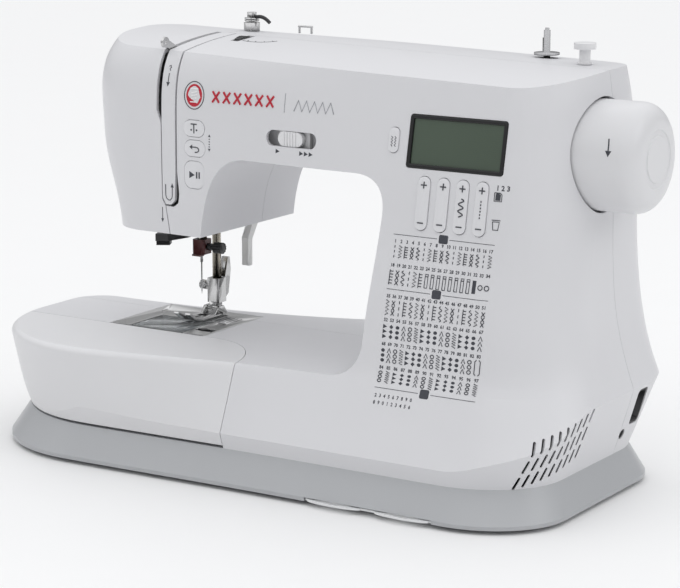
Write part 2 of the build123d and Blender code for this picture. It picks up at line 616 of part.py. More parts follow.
def toothed_pulley(x0, x1, y, z, r, teeth, hub_r):
    """Toothed belt pulley with two flanges, bored for its shaft."""
    wheel = rod_x(x0, x1, y, z, r)
    for k in range(teeth):
        a = 2 * pi * k / teeth
        wheel -= rod_x(x0 + 1, x1 - 1, y + r * cos(a), z + r * sin(a), 0.8)
    wheel += rod_x(x0, x0 + 1, y, z, r + 1.2) + rod_x(x1 - 1, x1, y, z, r + 1.2)
    return wheel - bore_x(x0, x1, y, z, hub_r)


def belt_loop(x0, x1, y0, z0, r0, y1, z1, r1):
    """Closed flat belt round two wheels whose axes lie along X."""
    def ring(grow):
        wrap = rod_x(x0, x1, y0, z0, r0 + grow) + rod_x(x0, x1, y1, z1, r1 + grow)
        ang = atan2(z1 - z0, y1 - y0)
        dist = sqrt((y1 - y0) ** 2 + (z1 - z0) ** 2)
        side = ang + pi / 2
        tilt = atan2(sqrt(dist ** 2 - (r0 - r1) ** 2), r0 - r1)
        pts = []
        for y, z, r in ((y0, z0, r0 + grow), (y1, z1, r1 + grow)):
            pts.append((y + r * cos(ang + tilt), z + r * sin(ang + tilt)))
        for y, z, r in ((y1, z1, r1 + grow), (y0, z0, r0 + grow)):
            pts.append((y + r * cos(ang - tilt), z + r * sin(ang - tilt)))
        return wrap + prism_x(pts, x0, x1)
    return ring(BELT_T + 0.3) - ring(0.3)


def main_shaft():
    """Upper shaft from the head to the handwheel."""
    return rod_x(SHAFT_X0, SHAFT_X1, SHAFT_Y, SHAFT_Z, SHAFT_R)


def crank_disc():
    """Counterweighted disc with the crank pin that drives the needle bar."""
    disc = rod_x(SHAFT_X0, SHAFT_X0 + 7, SHAFT_Y, SHAFT_Z, DISC_R)
    disc -= bore_x(SHAFT_X0, SHAFT_X0 + 7, SHAFT_Y, SHAFT_Z, SHAFT_R)
    disc += rod_x(SHAFT_X0 - 10, SHAFT_X0 + 3, SHAFT_Y, SHAFT_Z + CRANK_R, 2.5)
    return one(disc)


def upper_pulley():
    """Belt pulleys on the main shaft: one for the lower shaft, one for the motor."""
    timing = toothed_pulley(PULLEY_X, PULLEY_X + PULLEY_W, SHAFT_Y, SHAFT_Z, PULLEY_R, PULLEY_TEETH, SHAFT_R)
    drive = toothed_pulley(MOTOR_PULLEY_X, MOTOR_PULLEY_X + 9, SHAFT_Y, SHAFT_Z, DRIVE_PULLEY_R, 21, SHAFT_R)
    return Compound([timing, drive])


def handwheel():
    """Handwheel with a domed rim and a finger ring in its end face."""
    r = WHEEL_R
    x0, x1 = WHEEL_X0, WHEEL_X1
    inner = Polyline((x0, 0, 0), (x0, 0, r - 1), (x0 + 1, 0, r), (x1 - 14, 0, r))
    dome = Bezier((x1 - 14, 0, r), (x1 - 5, 0, r), (x1, 0, r - 6), (x1, 0, r - 15))
    face = Polyline((x1, 0, r - 15), (x1, 0, 19), (x1 - 0.7, 0, 18.3), (x1 - 0.7, 0, 15.3), (x1, 0, 14.6),
                    (x1, 0, 0), (x0, 0, 0))
    profile = Wire(list(inner.edges()) + [dome] + list(face.edges()))
    wheel = revolve(make_face(profile), axis=Axis.X, revolution_arc=360)
    wheel = Pos(0, SHAFT_Y, SHAFT_Z) * wheel
    return one(wheel - rod_x(x0 - 1, SHAFT_X1, SHAFT_Y, SHAFT_Z, SHAFT_R))


def lower_shaft():
    """Lower shaft from the hook to the belt."""
    return rod_x(HOOK_X - 10, LOWER_X1 + 6, LOWER_Y, LOWER_Z, SHAFT_R)


def lower_wheels():
    """Belt pulley on the lower shaft, and the gear that turns the hook."""
    pulley = toothed_pulley(PULLEY_X, PULLEY_X + PULLEY_W, LOWER_Y, LOWER_Z, PULLEY_R, PULLEY_TEETH, SHAFT_R)
    x0, x1 = HOOK_X - 6, HOOK_X + 6
    gear = rod_x(x0, x1, LOWER_Y, LOWER_Z, HOOK_GEAR_R)
    for k in range(HOOK_GEAR_TEETH):
        a = 2 * pi * k / HOOK_GEAR_TEETH
        gear -= rod_x(x0 - 1, x1 + 1, LOWER_Y + HOOK_GEAR_R * cos(a), LOWER_Z + HOOK_GEAR_R * sin(a), 0.6)
    return Compound([pulley, one(gear - bore_x(x0, x1, LOWER_Y, LOWER_Z, SHAFT_R))])


def rotary_hook():
    """Horizontal rotary hook: a cup with a point, on a short vertical shaft with its pinion."""
    cup = rod_z(HOOK_X, HOOK_Y, HOOK_Z0, HOOK_Z1, HOOK_R) - rod_z(HOOK_X, HOOK_Y, HOOK_Z0 + 2, 90, HOOK_R - 1.6)
    cup -= Pos(HOOK_X, HOOK_Y, HOOK_Z1) * Rot(0, 0, 40) * Pos(HOOK_R, 0, 0) * Box(10, 14, 12)
    cup += rod_z(HOOK_X, HOOK_Y, 43, HOOK_Z0 + 1, 3)
    cup += rod_z(HOOK_X, HOOK_Y, 47, 57, HOOK_PINION_R)
    return one(cup)


def bobbin_case():
    """Plastic case that holds the bobbin still inside the hook."""
    r = HOOK_R - 2.0
    case = rod_z(HOOK_X, HOOK_Y, HOOK_Z0 + 2.4, CASE_TOP, r)
    case -= rod_z(HOOK_X, HOOK_Y, HOOK_Z0 + 4.0, BED_TOP, 11.2)
    case += box(HOOK_X - 5, HOOK_X + 5, HOOK_Y - HOOK_R - 5, HOOK_Y - r + 1, HOOK_Z1 + 0.4, BED_TOP - PLATE_T - 0.5)
    case += box(HOOK_X - 5, HOOK_X + 5, HOOK_Y - r, HOOK_Y - r + 2, HOOK_Z1 + 0.4, BED_TOP - PLATE_T - 0.5)
    return one(case)


def bobbin():
    """Clear bobbin."""
    z0, z1 = HOOK_Z0 + 4.3, HOOK_Z0 + 13.3
    wall = 1.0
    spool = rod_z(HOOK_X, HOOK_Y, z0, z1, 10.2) - (rod_z(HOOK_X, HOOK_Y, z0 + wall, z1 - wall, 11)
                                                    - rod_z(HOOK_X, HOOK_Y, z0, z1, 4.5))
    return spool - rod_z(HOOK_X, HOOK_Y, z0 - 1, z1 + 1, 3)


def motor_case():
    """Motor body with its foot on the bed casting."""
    case = rod_x(MOTOR_X0, MOTOR_X0 + MOTOR_L, MOTOR_Y, MOTOR_Z, MOTOR_R)
    case += box(MOTOR_X0 + 8, MOTOR_X0 + MOTOR_L - 8, BEAM_Y0, BEAM_Y1 + 8, BED_BEAM_Z1, MOTOR_Z)
    case -= rod_x(MOTOR_X0 + 4, MOTOR_X0 + MOTOR_L - 4, MOTOR_Y, MOTOR_Z, MOTOR_R - 3)
    case -= rod_x(MOTOR_X0 - 1, MOTOR_X0 + 6, MOTOR_Y, MOTOR_Z, 3 + RUN)
    for k in range(8):
        a = 2 * pi * k / 8
        case -= rod_x(MOTOR_X0 + MOTOR_L - 6, MOTOR_X0 + MOTOR_L + 1, MOTOR_Y + 15 * cos(a), MOTOR_Z + 15 * sin(a), 3)
    return one(case)


def motor_rotor():
    """Motor rotor, its shaft and belt pinion."""
    rotor = rod_x(MOTOR_X0 + 10, MOTOR_X0 + MOTOR_L - 12, MOTOR_Y, MOTOR_Z, MOTOR_R - 6)
    rotor += rod_x(MOTOR_PULLEY_X - 1, MOTOR_X0 + MOTOR_L - 8, MOTOR_Y, MOTOR_Z, 3)
    rotor += rod_x(MOTOR_PULLEY_X, MOTOR_PULLEY_X + 9, MOTOR_Y, MOTOR_Z, MOTOR_PULLEY_R)
    return one(rotor)


def drive_belts():
    """Timing belt between the shafts and motor belt."""
    timing = belt_loop(PULLEY_X + 1.4, PULLEY_X + PULLEY_W - 1.4, LOWER_Y, LOWER_Z, PULLEY_R,
                       SHAFT_Y, SHAFT_Z, PULLEY_R)
    motor = belt_loop(MOTOR_PULLEY_X + 1.4, MOTOR_PULLEY_X + 7.6, MOTOR_Y, MOTOR_Z, MOTOR_PULLEY_R,
                      SHAFT_Y, SHAFT_Z, DRIVE_PULLEY_R)
    return Compound([one(timing), one(motor)])


# ---- needle and presser group ----
def needle_bar():
    """Needle bar."""
    return rod_z(NEEDLE_X, NEEDLE_Y, CLAMP_Z1 - 3.4, 246, BAR_R)


def needle_clamp():
    """Clamp block at the end of the needle bar, with its thread guide."""
    block = box(NEEDLE_X - 5, NEEDLE_X + 5, NEEDLE_Y - 5.5, NEEDLE_Y + 5, CLAMP_Z0, CLAMP_Z1)
    block = fillet(block.edges().filter_by(Axis.Z), 1.6)
    block -= rod_z(NEEDLE_X, NEEDLE_Y, CLAMP_Z1 - 3.4, CLAMP_Z1 + 2, BAR_R)
    block -= rod_z(NEEDLE_X, NEEDLE_Y - 1, CLAMP_Z0 - 1, CLAMP_Z0 + 5, 1.1)
    block -= rod_x(NEEDLE_X, NEEDLE_X + 8, NEEDLE_Y, (CLAMP_Z0 + CLAMP_Z1) / 2, 1.5)
    block += box(NEEDLE_X - 4, NEEDLE_X + 3, NEEDLE_Y - 7, NEEDLE_Y - 2, CLAMP_Z0 - 1.2, CLAMP_Z0)
    return one(block)


def clamp_screw():
    """Thumb screw that clamps the needle."""
    z = (CLAMP_Z0 + CLAMP_Z1) / 2
    screw = rod_x(NEEDLE_X + 2.5, NEEDLE_X + 13, NEEDLE_Y, z, 1.5)
    knob = rod_x(NEEDLE_X + 11, NEEDLE_X + 18, NEEDLE_Y, z, 4)
    for k in range(12):
        a = 2 * pi * k / 12
        knob -= rod_x(NEEDLE_X + 10, NEEDLE_X + 19, NEEDLE_Y + 4.2 * cos(a), z + 4.2 * sin(a), 0.6)
    collar = rod_x(NEEDLE_X + 5.4, NEEDLE_X + 8, NEEDLE_Y, z, 2.6)
    return one(screw + knob + collar)


def needle():
    """Machine needle with shank, blade and point."""
    y = NEEDLE_Y - 1
    shank = rod_z(NEEDLE_X, y, CLAMP_Z0 - 6, CLAMP_Z0 + 5, 1.0)
    blade = rod_z(NEEDLE_X, y, NEEDLE_TIP + 3, CLAMP_Z0 - 5, 0.5)
    point = Pos(NEEDLE_X, y, NEEDLE_TIP + 1.5) * Cone(0.1, 0.5, 3)
    eye = Pos(NEEDLE_X, y, NEEDLE_TIP + 6) * Box(0.36, 3, 1.6)
    return one(shank + blade + point - eye)


def take_up_lever():
    """Thread take-up lever in the left slot, with a hooked eye."""
    py, pz = LEVER_PIVOT
    ey, ez = LEVER_EYE
    ang = atan2(ez - pz, ey - py)
    nx, nz = -sin(ang), cos(ang)
    x0, x1 = LEVER_X - LEVER_T / 2, LEVER_X + LEVER_T / 2
    arm = prism_x([(py + nx * 4, pz + nz * 4), (ey + nx * 2.5, ez + nz * 2.5), (ey - nx * 2.5, ez - nz * 2.5),
                   (py - nx * 4, pz - nz * 4)], x0, x1)
    arm += rod_x(x0, x1, py, pz, 6.5) + rod_x(x0, x1, ey, ez, 3.6)
    arm -= bore_x(x0, x1, py, pz, 2.5 + RUN)
    arm -= bore_x(x0, x1, ey, ez, 1.3)
    return one(arm)


BAR_X = NEEDLE_X + 1
COLLAR_Z = 171.0
SPRING_Z1 = CARRIER_ZS[1]


def presser_bar():
    """Presser bar with the collar that the spring pushes on."""
    bar = rod_z(BAR_X, PRESSER_Y, 93, 214, PRESSER_R)
    bar += rod_z(BAR_X, PRESSER_Y, COLLAR_Z, COLLAR_Z + 4, 6)
    return one(bar)


def presser_spring():
    """Compression spring between the collar and the upper carrier."""
    z0, z1 = COLLAR_Z + 4.3, SPRING_Z1 - 0.3
    wire = 0.6
    path = Helix(pitch=(z1 - z0 - 2 * wire) / 4.5, height=z1 - z0 - 2 * wire, radius=4.6)
    coil = sweep(Plane(origin=path @ 0, z_dir=path % 0) * Circle(wire), path=path)
    return Pos(BAR_X, PRESSER_Y, z0 + wire) * coil


def foot_holder():
    """Ankle on the presser bar with its thumb screw and the release lever behind."""
    z0, z1 = 89.5, 107.0
    block = box(BAR_X - 5, BAR_X + 5, PRESSER_Y - 5.5, PRESSER_Y + 5, z0, z1)
    block = fillet(block.edges().filter_by(Axis.Z), 1.2)
    block -= rod_z(BAR_X, PRESSER_Y, 93, z1 + 1, PRESSER_R)
    z = 101.0
    block += rod_x(BAR_X - 9.5, BAR_X - 4, PRESSER_Y - 1, z, 1.6) + rod_x(BAR_X - 12.5, BAR_X - 8, PRESSER_Y - 1, z, 3.4)
    block += box(BAR_X - 3, BAR_X + 3, PRESSER_Y - 6, PRESSER_Y + 2, 86.8, z0 + 1)
    lever = prism_x([(PRESSER_Y + 4, 92), (PRESSER_Y + 8, 95), (PRESSER_Y + 11, 112), (PRESSER_Y + 9.5, 121),
                     (PRESSER_Y + 7.5, 121), (PRESSER_Y + 4, 108)], BAR_X - 1, BAR_X + 4.5)
    lever -= box(BAR_X + 0.6, BAR_X + 3, PRESSER_Y, PRESSER_Y + 20, 112, 118)
    return one(block + lever)


FOOT_PIN_Y, FOOT_PIN_Z = PRESSER_Y - 4.0, 84.9


def presser_foot():
    """Snap-on zigzag foot: sole with two raised toes, a needle slot, two ears and the pin."""
    x0, x1 = NEEDLE_X - 7, NEEDLE_X + 7
    sole = prism_x([(PRESSER_Y + 3, 80.7), (PRESSER_Y + 3, 82.4), (4, 82.6), (-2, 84.2), (-10, 88.6),
                    (-10.6, 87.6), (-3, 82.2), (3, 80.7)], x0, x1)
    sole -= box(NEEDLE_X - 3.6, NEEDLE_X + 3.6, NEEDLE_Y - 3, NEEDLE_Y + 2, 70, 100)
    sole -= prism_z([(NEEDLE_X - 0.8, 20), (NEEDLE_X - 0.8, 2), (NEEDLE_X - 3.5, -14), (NEEDLE_X + 3.5, -14),
                     (NEEDLE_X + 0.8, 2), (NEEDLE_X + 0.8, 20)], 70, 100)
    for x in (BAR_X - 6.6, BAR_X + 4.6):
        sole += prism_x([(PRESSER_Y - 12, 82), (PRESSER_Y - 7, 87.4), (PRESSER_Y - 1, 87.4), (PRESSER_Y + 3, 82)],
                        x, x + 2.0)
    sole += rod_x(BAR_X - 6, BAR_X + 6, FOOT_PIN_Y, FOOT_PIN_Z, 1.0)
    return one(sole)


LIFTER_X0, LIFTER_X1 = -97.5, -92.0
LIFTER_Y, LIFTER_Z = 58.0, 168.0


def presser_lifter():
    """Presser foot lifter at the back of the head."""
    bar = prism_x([(55.2, 168), (61.5, 150), (51.8, 133.5), (51.8, 113), (57, 113), (57, 132), (68, 148.5),
                   (61, 168)], LIFTER_X0, LIFTER_X1)
    bar = bar + rod_x(LIFTER_X0, LIFTER_X1, LIFTER_Y, LIFTER_Z, 6)
    bar = fillet(bar.edges().filter_by(Axis.X).filter_by_position(Axis.Z, 110, 160), 1.2)
    bar += rod_x(LIFTER_X1 - 1, -90.8, LIFTER_Y, LIFTER_Z, 4)
    return one(bar)


def needle_threader():
    """Needle threader: slide rod with a finger lever under the head."""
    rod = rod_z(-118, NEEDLE_Y, 140, 200, 2)
    lever = prism_z([(-121, 19), (-115, 19), (-115, 10), (-119, -8), (-127, -12), (-130, -4), (-121, 10)], 138, 143)
    tip = prism_z([(-119, -6), (-127, -11), (-131, -3), (-123, 2)], 134.8, 138)
    return one(rod + lever + tip)


FEED_ROW_XS = (-9.5, -5.2, 3.2, 7.5)
FEED_ROW_W = 2.0
FEED_OUTER_Y, FEED_INNER_Y, FEED_END_Y = -1.0, 4.0, 14.0


def feed_row_start(dx):
    """Front end of a feed row: the outer rows reach further forward."""
    return NEEDLE_Y + (FEED_OUTER_Y if abs(dx + FEED_ROW_W / 2) > 6 else FEED_INNER_Y)


def feed_dog():
    """Feed dog with its four toothed rows and its carrier."""
    tail = NEEDLE_Y + FEED_END_Y
    dog = box(NEEDLE_X - 9.5, NEEDLE_X + 9.5, NEEDLE_Y + 4, tail, 70.5, 75)
    for dx in FEED_ROW_XS:
        x = NEEDLE_X + dx
        y0 = feed_row_start(dx)
        row = box(x, x + FEED_ROW_W, y0, tail, 77.0, BED_TOP - 0.2)
        for k in range(int((tail - y0) / 1.6)):
            row -= Pos(x, y0 + 0.8 + 1.6 * k, BED_TOP - 0.2) * Rot(45, 0, 0) * Box(6, 0.8, 0.8)
        dog += row + box(x, x + FEED_ROW_W, NEEDLE_Y + 4, tail, 74, 77.5)
    return one(dog)


FEED_TRAVEL = 2.5


def needle_plate():
    """Steel needle plate with the needle slot, feed slots and the bobbin opening."""
    z0, z1 = BED_TOP - PLATE_T, BED_TOP
    plate = box(PLATE_X0, PLATE_X1, PLATE_Y0, PLATE_Y1, z0, z1)
    plate = fillet(plate.edges().filter_by(Axis.Z), 1.5)
    plate -= box(COVER_X0 - 0.3, COVER_X1 + 0.3, PLATE_Y0 - 1, COVER_Y1 + 0.3, z0 - 1, z1 + 1)
    plate -= Pos(NEEDLE_X, NEEDLE_Y - 1, z0 - 1) * extrude(SlotOverall(9, 2.0), amount=4)
    reach = FEED_TRAVEL + 0.8
    for dx in FEED_ROW_XS:
        x = NEEDLE_X + dx
        plate -= box(x - 0.5, x + FEED_ROW_W + 0.5, feed_row_start(dx) - reach, NEEDLE_Y + FEED_END_Y + reach,
                     z0 - 1, z1 + 1)
    for x, y in plate_screw_spots():
        plate -= rod_z(x, y, z0 - 1, z1 + 1, PLATE_SCREW_R + 0.2)
        plate -= rod_z(x, y, z1 - 0.7, z1 + 1, 3.7)
    rx, ry = RELEASE_X, RELEASE_Y
    plate -= box(rx - 7, rx + 7, ry - 3, ry + 3, z0 - 1, z1 + 1)
    return one(plate)


RELEASE_X, RELEASE_Y = -81.5, -16.0
RELEASE_TRAVEL = 3.0


def plate_screw_spots():
    """Centres of the two needle plate screws."""
    return ((PLATE_X0 + 11.0, 20.0), (PLATE_X1 - 10.0, 4.0))


def plate_screws():
    """Two slotted screws of the needle plate."""
    screws = []
    for x, y in plate_screw_spots():
        head = rod_z(x, y, BED_TOP - 0.6, BED_TOP + 0.3, 3.4) + rod_z(x, y, 72, BED_TOP - 0.5, PLATE_SCREW_R)
        screws.append(one(head - Pos(x, y, BED_TOP + 0.3) * Rot(0, 0, 30) * Box(7, 0.9, 1.0)))
    return Compound(screws)


def bobbin_cover():
    """Clear sliding cover over the bobbin."""
    cover = box(COVER_X0, COVER_X1, PLATE_Y0, COVER_Y1, BED_TOP - COVER_T, BED_TOP - 0.05)
    return one(fillet(cover.edges().filter_by(Axis.Z), 1.5))


def cover_release():
    """Sliding release button of the bobbin cover."""
    x, y = RELEASE_X - 1.5, RELEASE_Y
    slider = prism_z([(x - 5, y), (x, y - 2.6), (x + 5, y), (x, y + 2.6)], BED_TOP - PLATE_T, BED_TOP + 0.8)
    slider += box(x - 4, x + 4, y - 4.5, y + 4.5, BED_TOP - PLATE_T - 2.0, BED_TOP - PLATE_T - 0.3)
    slider += box(x - 2, x + 2, y - 1.2, y + 1.2, BED_TOP - PLATE_T - 1, BED_TOP - PLATE_T + 0.5)
    return one(slider)


# ---- controls ----
def head_button(name):
    """Push button on the head."""
    x, z, w, h, r = HEAD_BUTTONS[name]
    cap = pad(head_plane(x, z), w, h, r, 5, BUTTON_PROUD)
    return cap + pad(head_plane(x, z), w + 2, h + 2, r + 1, 5, -3.4)


def mirror_button():
    """Narrow push button beside the display."""
    plane = front_plane(MIRROR_X, MIRROR_Z)
    cap = pad(plane, MIRROR_W, MIRROR_H, MIRROR_W / 2 - 0.05, 5, BUTTON_PROUD)
    return cap + pad(plane, MIRROR_W + 3, MIRROR_H + 3, MIRROR_W / 2 + 1.4, 5, -3.4)


def rocker_key(x):
    """Tall rocker key that tips up or down."""
    return pad(front_plane(x, KEY_Z), KEY_W, KEY_H, KEY_W / 2 - 0.05, 4, BUTTON_PROUD)


def speed_slider():
    """Speed slider knob in its long recess, with the guide behind the casing."""
    plane = head_plane(SPEED_X + KNOB_REST, SPEED_Z)
    h = SPEED_H - 2 * BUTTON_GAP
    knob = pad(plane, KNOB_W, h, h / 2 - 0.1, 2.0, 2.4)
    for k in range(5):
        knob -= plane * Pos((k - 2) * 2.2, 0, 2.6) * Box(0.8, 20, 1.4)
    knob += pad(plane, 8, h - 3, 1, 6.5, 0)
    knob += pad(plane, 24, h + 5, 2, 6.5, -WALL - 0.5)
    return one(knob)


def lcd_bezel():
    """Frame round the display window."""
    plane = display_plane()
    w = display_w()
    frame = pad(plane, w + 2 * BEZEL_W, LCD_H + 2 * BEZEL_W, 2.0, WALL + 2, 0.5)
    return one(frame - pad(plane, w, LCD_H, 0.8, 20, 20))


def lcd_module():
    """Display: glass and its body behind the bezel."""
    plane = display_plane()
    w = display_w() - 0.3
    h = LCD_H - 0.3
    return one(pad(plane, w, h, 0.6, 9, -0.8))


def circuit_boards():
    """Control board behind the keys, power board in the base and the lamp board in the head."""
    control = box(94, 186, BOARD_FRONT + 0.1, BOARD_FRONT + 1.6, 166, 251)
    control += box(120, 140, -20.5, -17, 200, 214) + box(150, 158, -20.5, -12, 176, 184)
    for x in KEY_XS:
        for z in (KEY_Z - 10, KEY_Z + 10):
            control += box(x - 3, x + 3, -25, -21.8, z - 3, z + 3)
    power = box(100, 188, -70, -12, 27.0, 28.6)
    power += rod_z(120, -50, 28.5, 48, 8) + box(140, 165, -60, -35, 28.5, 50) + box(112, 130, -34, -20, 28.5, 42)
    lamp = box(-88, -72, -28, -12, HEAD_FLOOR + WALL, HEAD_FLOOR + WALL + 1.4)
    return Compound([control, power, lamp])


def power_standoffs():
    """Four posts under the power board, on the tray floor."""
    return [rod_z(x, y, FOOT_H + 2.8, 27.0, 3) for x in (106, 182) for y in (-64, -18)]


def power_inlet():
    """Two-pin mains inlet let into the right end, with its two pins."""
    plane = inlet_plane()
    shell = pad(plane, INLET_W, INLET_H, 2.6, 16, -0.6)
    shell -= pad(plane, INLET_W - 3, INLET_H - 3, 2.0, 12, 4)
    for v in (-4.5, 4.5):
        shell += plane * Pos(0, v, -13) * extrude(Circle(1.1), amount=9)
    shell += pad(plane, INLET_W + 3, INLET_H + 3, 3, 7.0, -4.6) - pad(plane, INLET_W - 1, INLET_H - 1, 2, 12, 4)
    return one(shell)


def pedal_jack():
    """Round jack of the foot control."""
    plane = jack_plane()
    jack = plane * Pos(0, 0, -14) * extrude(Circle(JACK_R), amount=13.5)
    jack += plane * Pos(0, 0, -9) * extrude(Circle(JACK_R + 0.8), amount=3.5)
    return one(jack - plane * Pos(0, 0, -12) * extrude(Circle(2.4), amount=14))


# ---- top ----
def winder_arm():
    """Sliding arm under the top cover that carries the winder spindle."""
    arm = box(WINDER_X - 22, WINDER_X + 12, WINDER_Y - 8, WINDER_Y + 8, WINDER_ARM_Z, WINDER_ARM_Z + 3)
    arm += rod_z(WINDER_X, WINDER_Y, WINDER_ARM_Z, WINDER_ARM_Z + 9, 5.5)
    arm += box(WINDER_X - 22, WINDER_X - 10, WINDER_Y - 26, WINDER_Y + 8, WINDER_ARM_Z, WINDER_ARM_Z + 3)
    return one(arm - rod_z(WINDER_X, WINDER_Y, WINDER_ARM_Z - 1, WINDER_ARM_Z + 10, WINDER_R + RUN))


WINDER_R = 2.2            # radius of the winder spindle


def winder_spindle():
    """Bobbin winder spindle with its spring clip and friction wheel."""
    z0 = roof_z(WINDER_X, WINDER_Y)
    spindle = rod_z(WINDER_X, WINDER_Y, WINDER_ARM_Z - 7, z0 + 18, WINDER_R)
    spindle += rod_z(WINDER_X, WINDER_Y, z0 + 18, z0 + 19.5, 1.4)
    spindle += rod_z(WINDER_X, WINDER_Y, z0 + 2.0, z0 + 3.4, 8.5)
    spindle += box(WINDER_X - 3.0, WINDER_X - 1, WINDER_Y - 0.6, WINDER_Y + 0.6, z0 + 3, z0 + 13)
    spindle += rod_z(WINDER_X, WINDER_Y, WINDER_ARM_Z - 6, WINDER_ARM_Z - 1, 12)
    return one(spindle)


def winder_stop():
    """Bobbin winder stop: a capped post."""
    z0 = roof_z(STOP_X, STOP_Y)
    stop = rod_z(STOP_X, STOP_Y, z0 + 0.3, z0 + 11, 3.6) + rod_z(STOP_X, STOP_Y, z0 + 10, z0 + 14, 7.2)
    stop += rod_z(STOP_X, STOP_Y, z0 + 0.3, z0 + 1.5, 5)
    return one(stop)


def thread_guides():
    """Pretension stud and wire hook on the top cover, and the wire guide under the head."""
    z0 = roof_z(STUD_X, STUD_Y)
    stud = rod_z(STUD_X, STUD_Y, z0 + 0.25, z0 + 6, 5.6) + rod_z(STUD_X, STUD_Y, z0 + 5, z0 + 12, 1.6)
    stud += rod_z(STUD_X, STUD_Y, z0 + 7, z0 + 7.8, 5.2) + rod_z(STUD_X, STUD_Y, z0 + 8.4, z0 + 9.2, 5.2)
    stud += rod_z(STUD_X, STUD_Y, z0 + 10, z0 + 13, 3.4)
    z0 = roof_z(-50, 62)
    top = rod_z(-54, 62, z0 + 0.15, z0 + 5, 0.8) + rod_z(-44, 62, z0 + 0.15, z0 + 5, 0.8)
    top += rod_x(-54.8, -43.2, 62, z0 + 5, 0.8)
    low = rod_z(-92, 0, HEAD_FLOOR - 8, HEAD_FLOOR, 0.8) + rod_x(-101, -91.2, 0, HEAD_FLOOR - 8, 0.8)
    return Compound([one(stud), one(top), one(low)])


def tension_dial():
    """Thread tension wheel in its slot on the top cover."""
    cz = roof_z(DIAL_X, DIAL_Y) + 1.6 - DIAL_R
    x0, x1 = DIAL_X - DIAL_W / 2, DIAL_X + DIAL_W / 2
    dial = rod_x(x0, x1, DIAL_Y, cz, DIAL_R)
    for k in range(36):
        a = 2 * pi * k / 36
        dial -= rod_x(x0 - 1, x1 + 1, DIAL_Y + DIAL_R * cos(a), cz + DIAL_R * sin(a), 0.5)
    return one(dial - bore_x(x0, x1, DIAL_Y, cz, 2.5 + RUN))


def tension_unit():
    """Two tension discs, their spring washer and the pin, and the dial's axle."""
    y, z = -22.0, ARM_BEAM_Z1 + 10
    unit = rod_x(-88, PLATE_X_HEAD, y, z, 2.0)
    unit += rod_x(-85.0, -84.2, y, z, 10) + rod_x(-82.6, -81.8, y, z, 10) + rod_x(-80, -77, y, z, 6)
    cz = roof_z(DIAL_X, DIAL_Y) + 1.6 - DIAL_R
    axle = rod_x(DIAL_X - 5, DIAL_X + 5, DIAL_Y, cz, 2.5) + box(DIAL_X + 4, DIAL_X + 7, DIAL_Y - 4, DIAL_Y + 4,
                                                               cz - 6, roof_z(DIAL_X, DIAL_Y) - WALL - 0.8)
    return Compound([one(unit), one(axle)])


def main():
    """Build every sub-part and write one file for each."""
    parts = casings()
    parts["extension_table"] = extension_table()
    tray = base_tray()
    for post in power_standoffs():
        tray += post
    parts["base_tray"] = one(tray)
    parts["rubber_feet"] = rubber_feet()
    parts["reference_tray"] = reference_tray()
    for make in (arm_frame, bed_frame, frame_screws, shaft_bushes, main_shaft, crank_disc, upper_pulley,
                 handwheel, lower_shaft, lower_wheels, rotary_hook, bobbin_case, bobbin,
                 motor_case, motor_rotor, drive_belts, needle_bar, needle_clamp, clamp_screw, needle,
                 take_up_lever, presser_bar, presser_spring, foot_holder, presser_foot, presser_lifter,
                 needle_threader, feed_dog, needle_plate, plate_screws, bobbin_cover, cover_release,
                 mirror_button, speed_slider, lcd_bezel, lcd_module, circuit_boards, power_inlet,
                 pedal_jack, winder_arm, winder_spindle, winder_stop, thread_guides, tension_dial,
                 tension_unit):
        parts[make.__name__] = make()
    for name in HEAD_BUTTONS:
        parts[name] = head_button(name)
    for number, x in enumerate(KEY_XS, start=1):
        parts[f"rocker_key_{number}"] = rocker_key(x)
    os.makedirs("parts", exist_ok=True)
    for name, shape in parts.items():
        export_step(SHIFT * shape, f"parts/{name}.step")


if __name__ == "__main__":
    main()
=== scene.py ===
"""Looks of a free-arm electronic sewing machine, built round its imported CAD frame."""

import json
import logging
import math
from dataclasses import dataclass, field
from enum import Enum
from typing import Sequence

import bpy
import bmesh
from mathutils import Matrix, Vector

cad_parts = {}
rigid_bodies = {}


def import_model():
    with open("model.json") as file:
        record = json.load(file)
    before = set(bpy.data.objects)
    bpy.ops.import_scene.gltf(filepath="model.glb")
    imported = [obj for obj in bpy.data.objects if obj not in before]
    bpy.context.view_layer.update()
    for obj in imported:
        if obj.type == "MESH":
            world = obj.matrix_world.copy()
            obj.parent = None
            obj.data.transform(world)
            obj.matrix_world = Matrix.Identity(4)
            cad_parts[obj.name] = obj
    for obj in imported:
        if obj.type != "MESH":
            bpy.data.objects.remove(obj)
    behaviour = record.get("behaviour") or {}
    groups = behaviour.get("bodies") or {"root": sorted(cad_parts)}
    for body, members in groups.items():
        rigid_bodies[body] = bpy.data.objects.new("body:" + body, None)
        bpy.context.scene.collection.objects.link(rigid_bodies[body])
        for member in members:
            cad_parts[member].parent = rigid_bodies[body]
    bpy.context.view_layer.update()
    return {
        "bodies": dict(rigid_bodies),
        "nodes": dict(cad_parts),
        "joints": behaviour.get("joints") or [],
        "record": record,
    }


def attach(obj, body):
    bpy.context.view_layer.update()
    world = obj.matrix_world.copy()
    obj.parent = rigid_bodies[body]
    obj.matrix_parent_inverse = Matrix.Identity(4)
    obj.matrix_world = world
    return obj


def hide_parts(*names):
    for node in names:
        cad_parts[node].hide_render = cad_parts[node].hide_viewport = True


log = logging.getLogger("sewing_machine")

MM = 0.001
DRAWING_ORIGIN = (-7.5, 10.5, 0.0)      # where the part drawing's zero lies in the frame, in mm

Point = tuple[float, float]
Colour = tuple[float, float, float]


def drawing(x: float, y: float, z: float) -> Vector:
    """A point of the part drawing, in mm, as a point of the frame, in metres."""
    ox, oy, oz = DRAWING_ORIGIN
    return Vector(((x + ox) * MM, (y + oy) * MM, (z + oz) * MM))


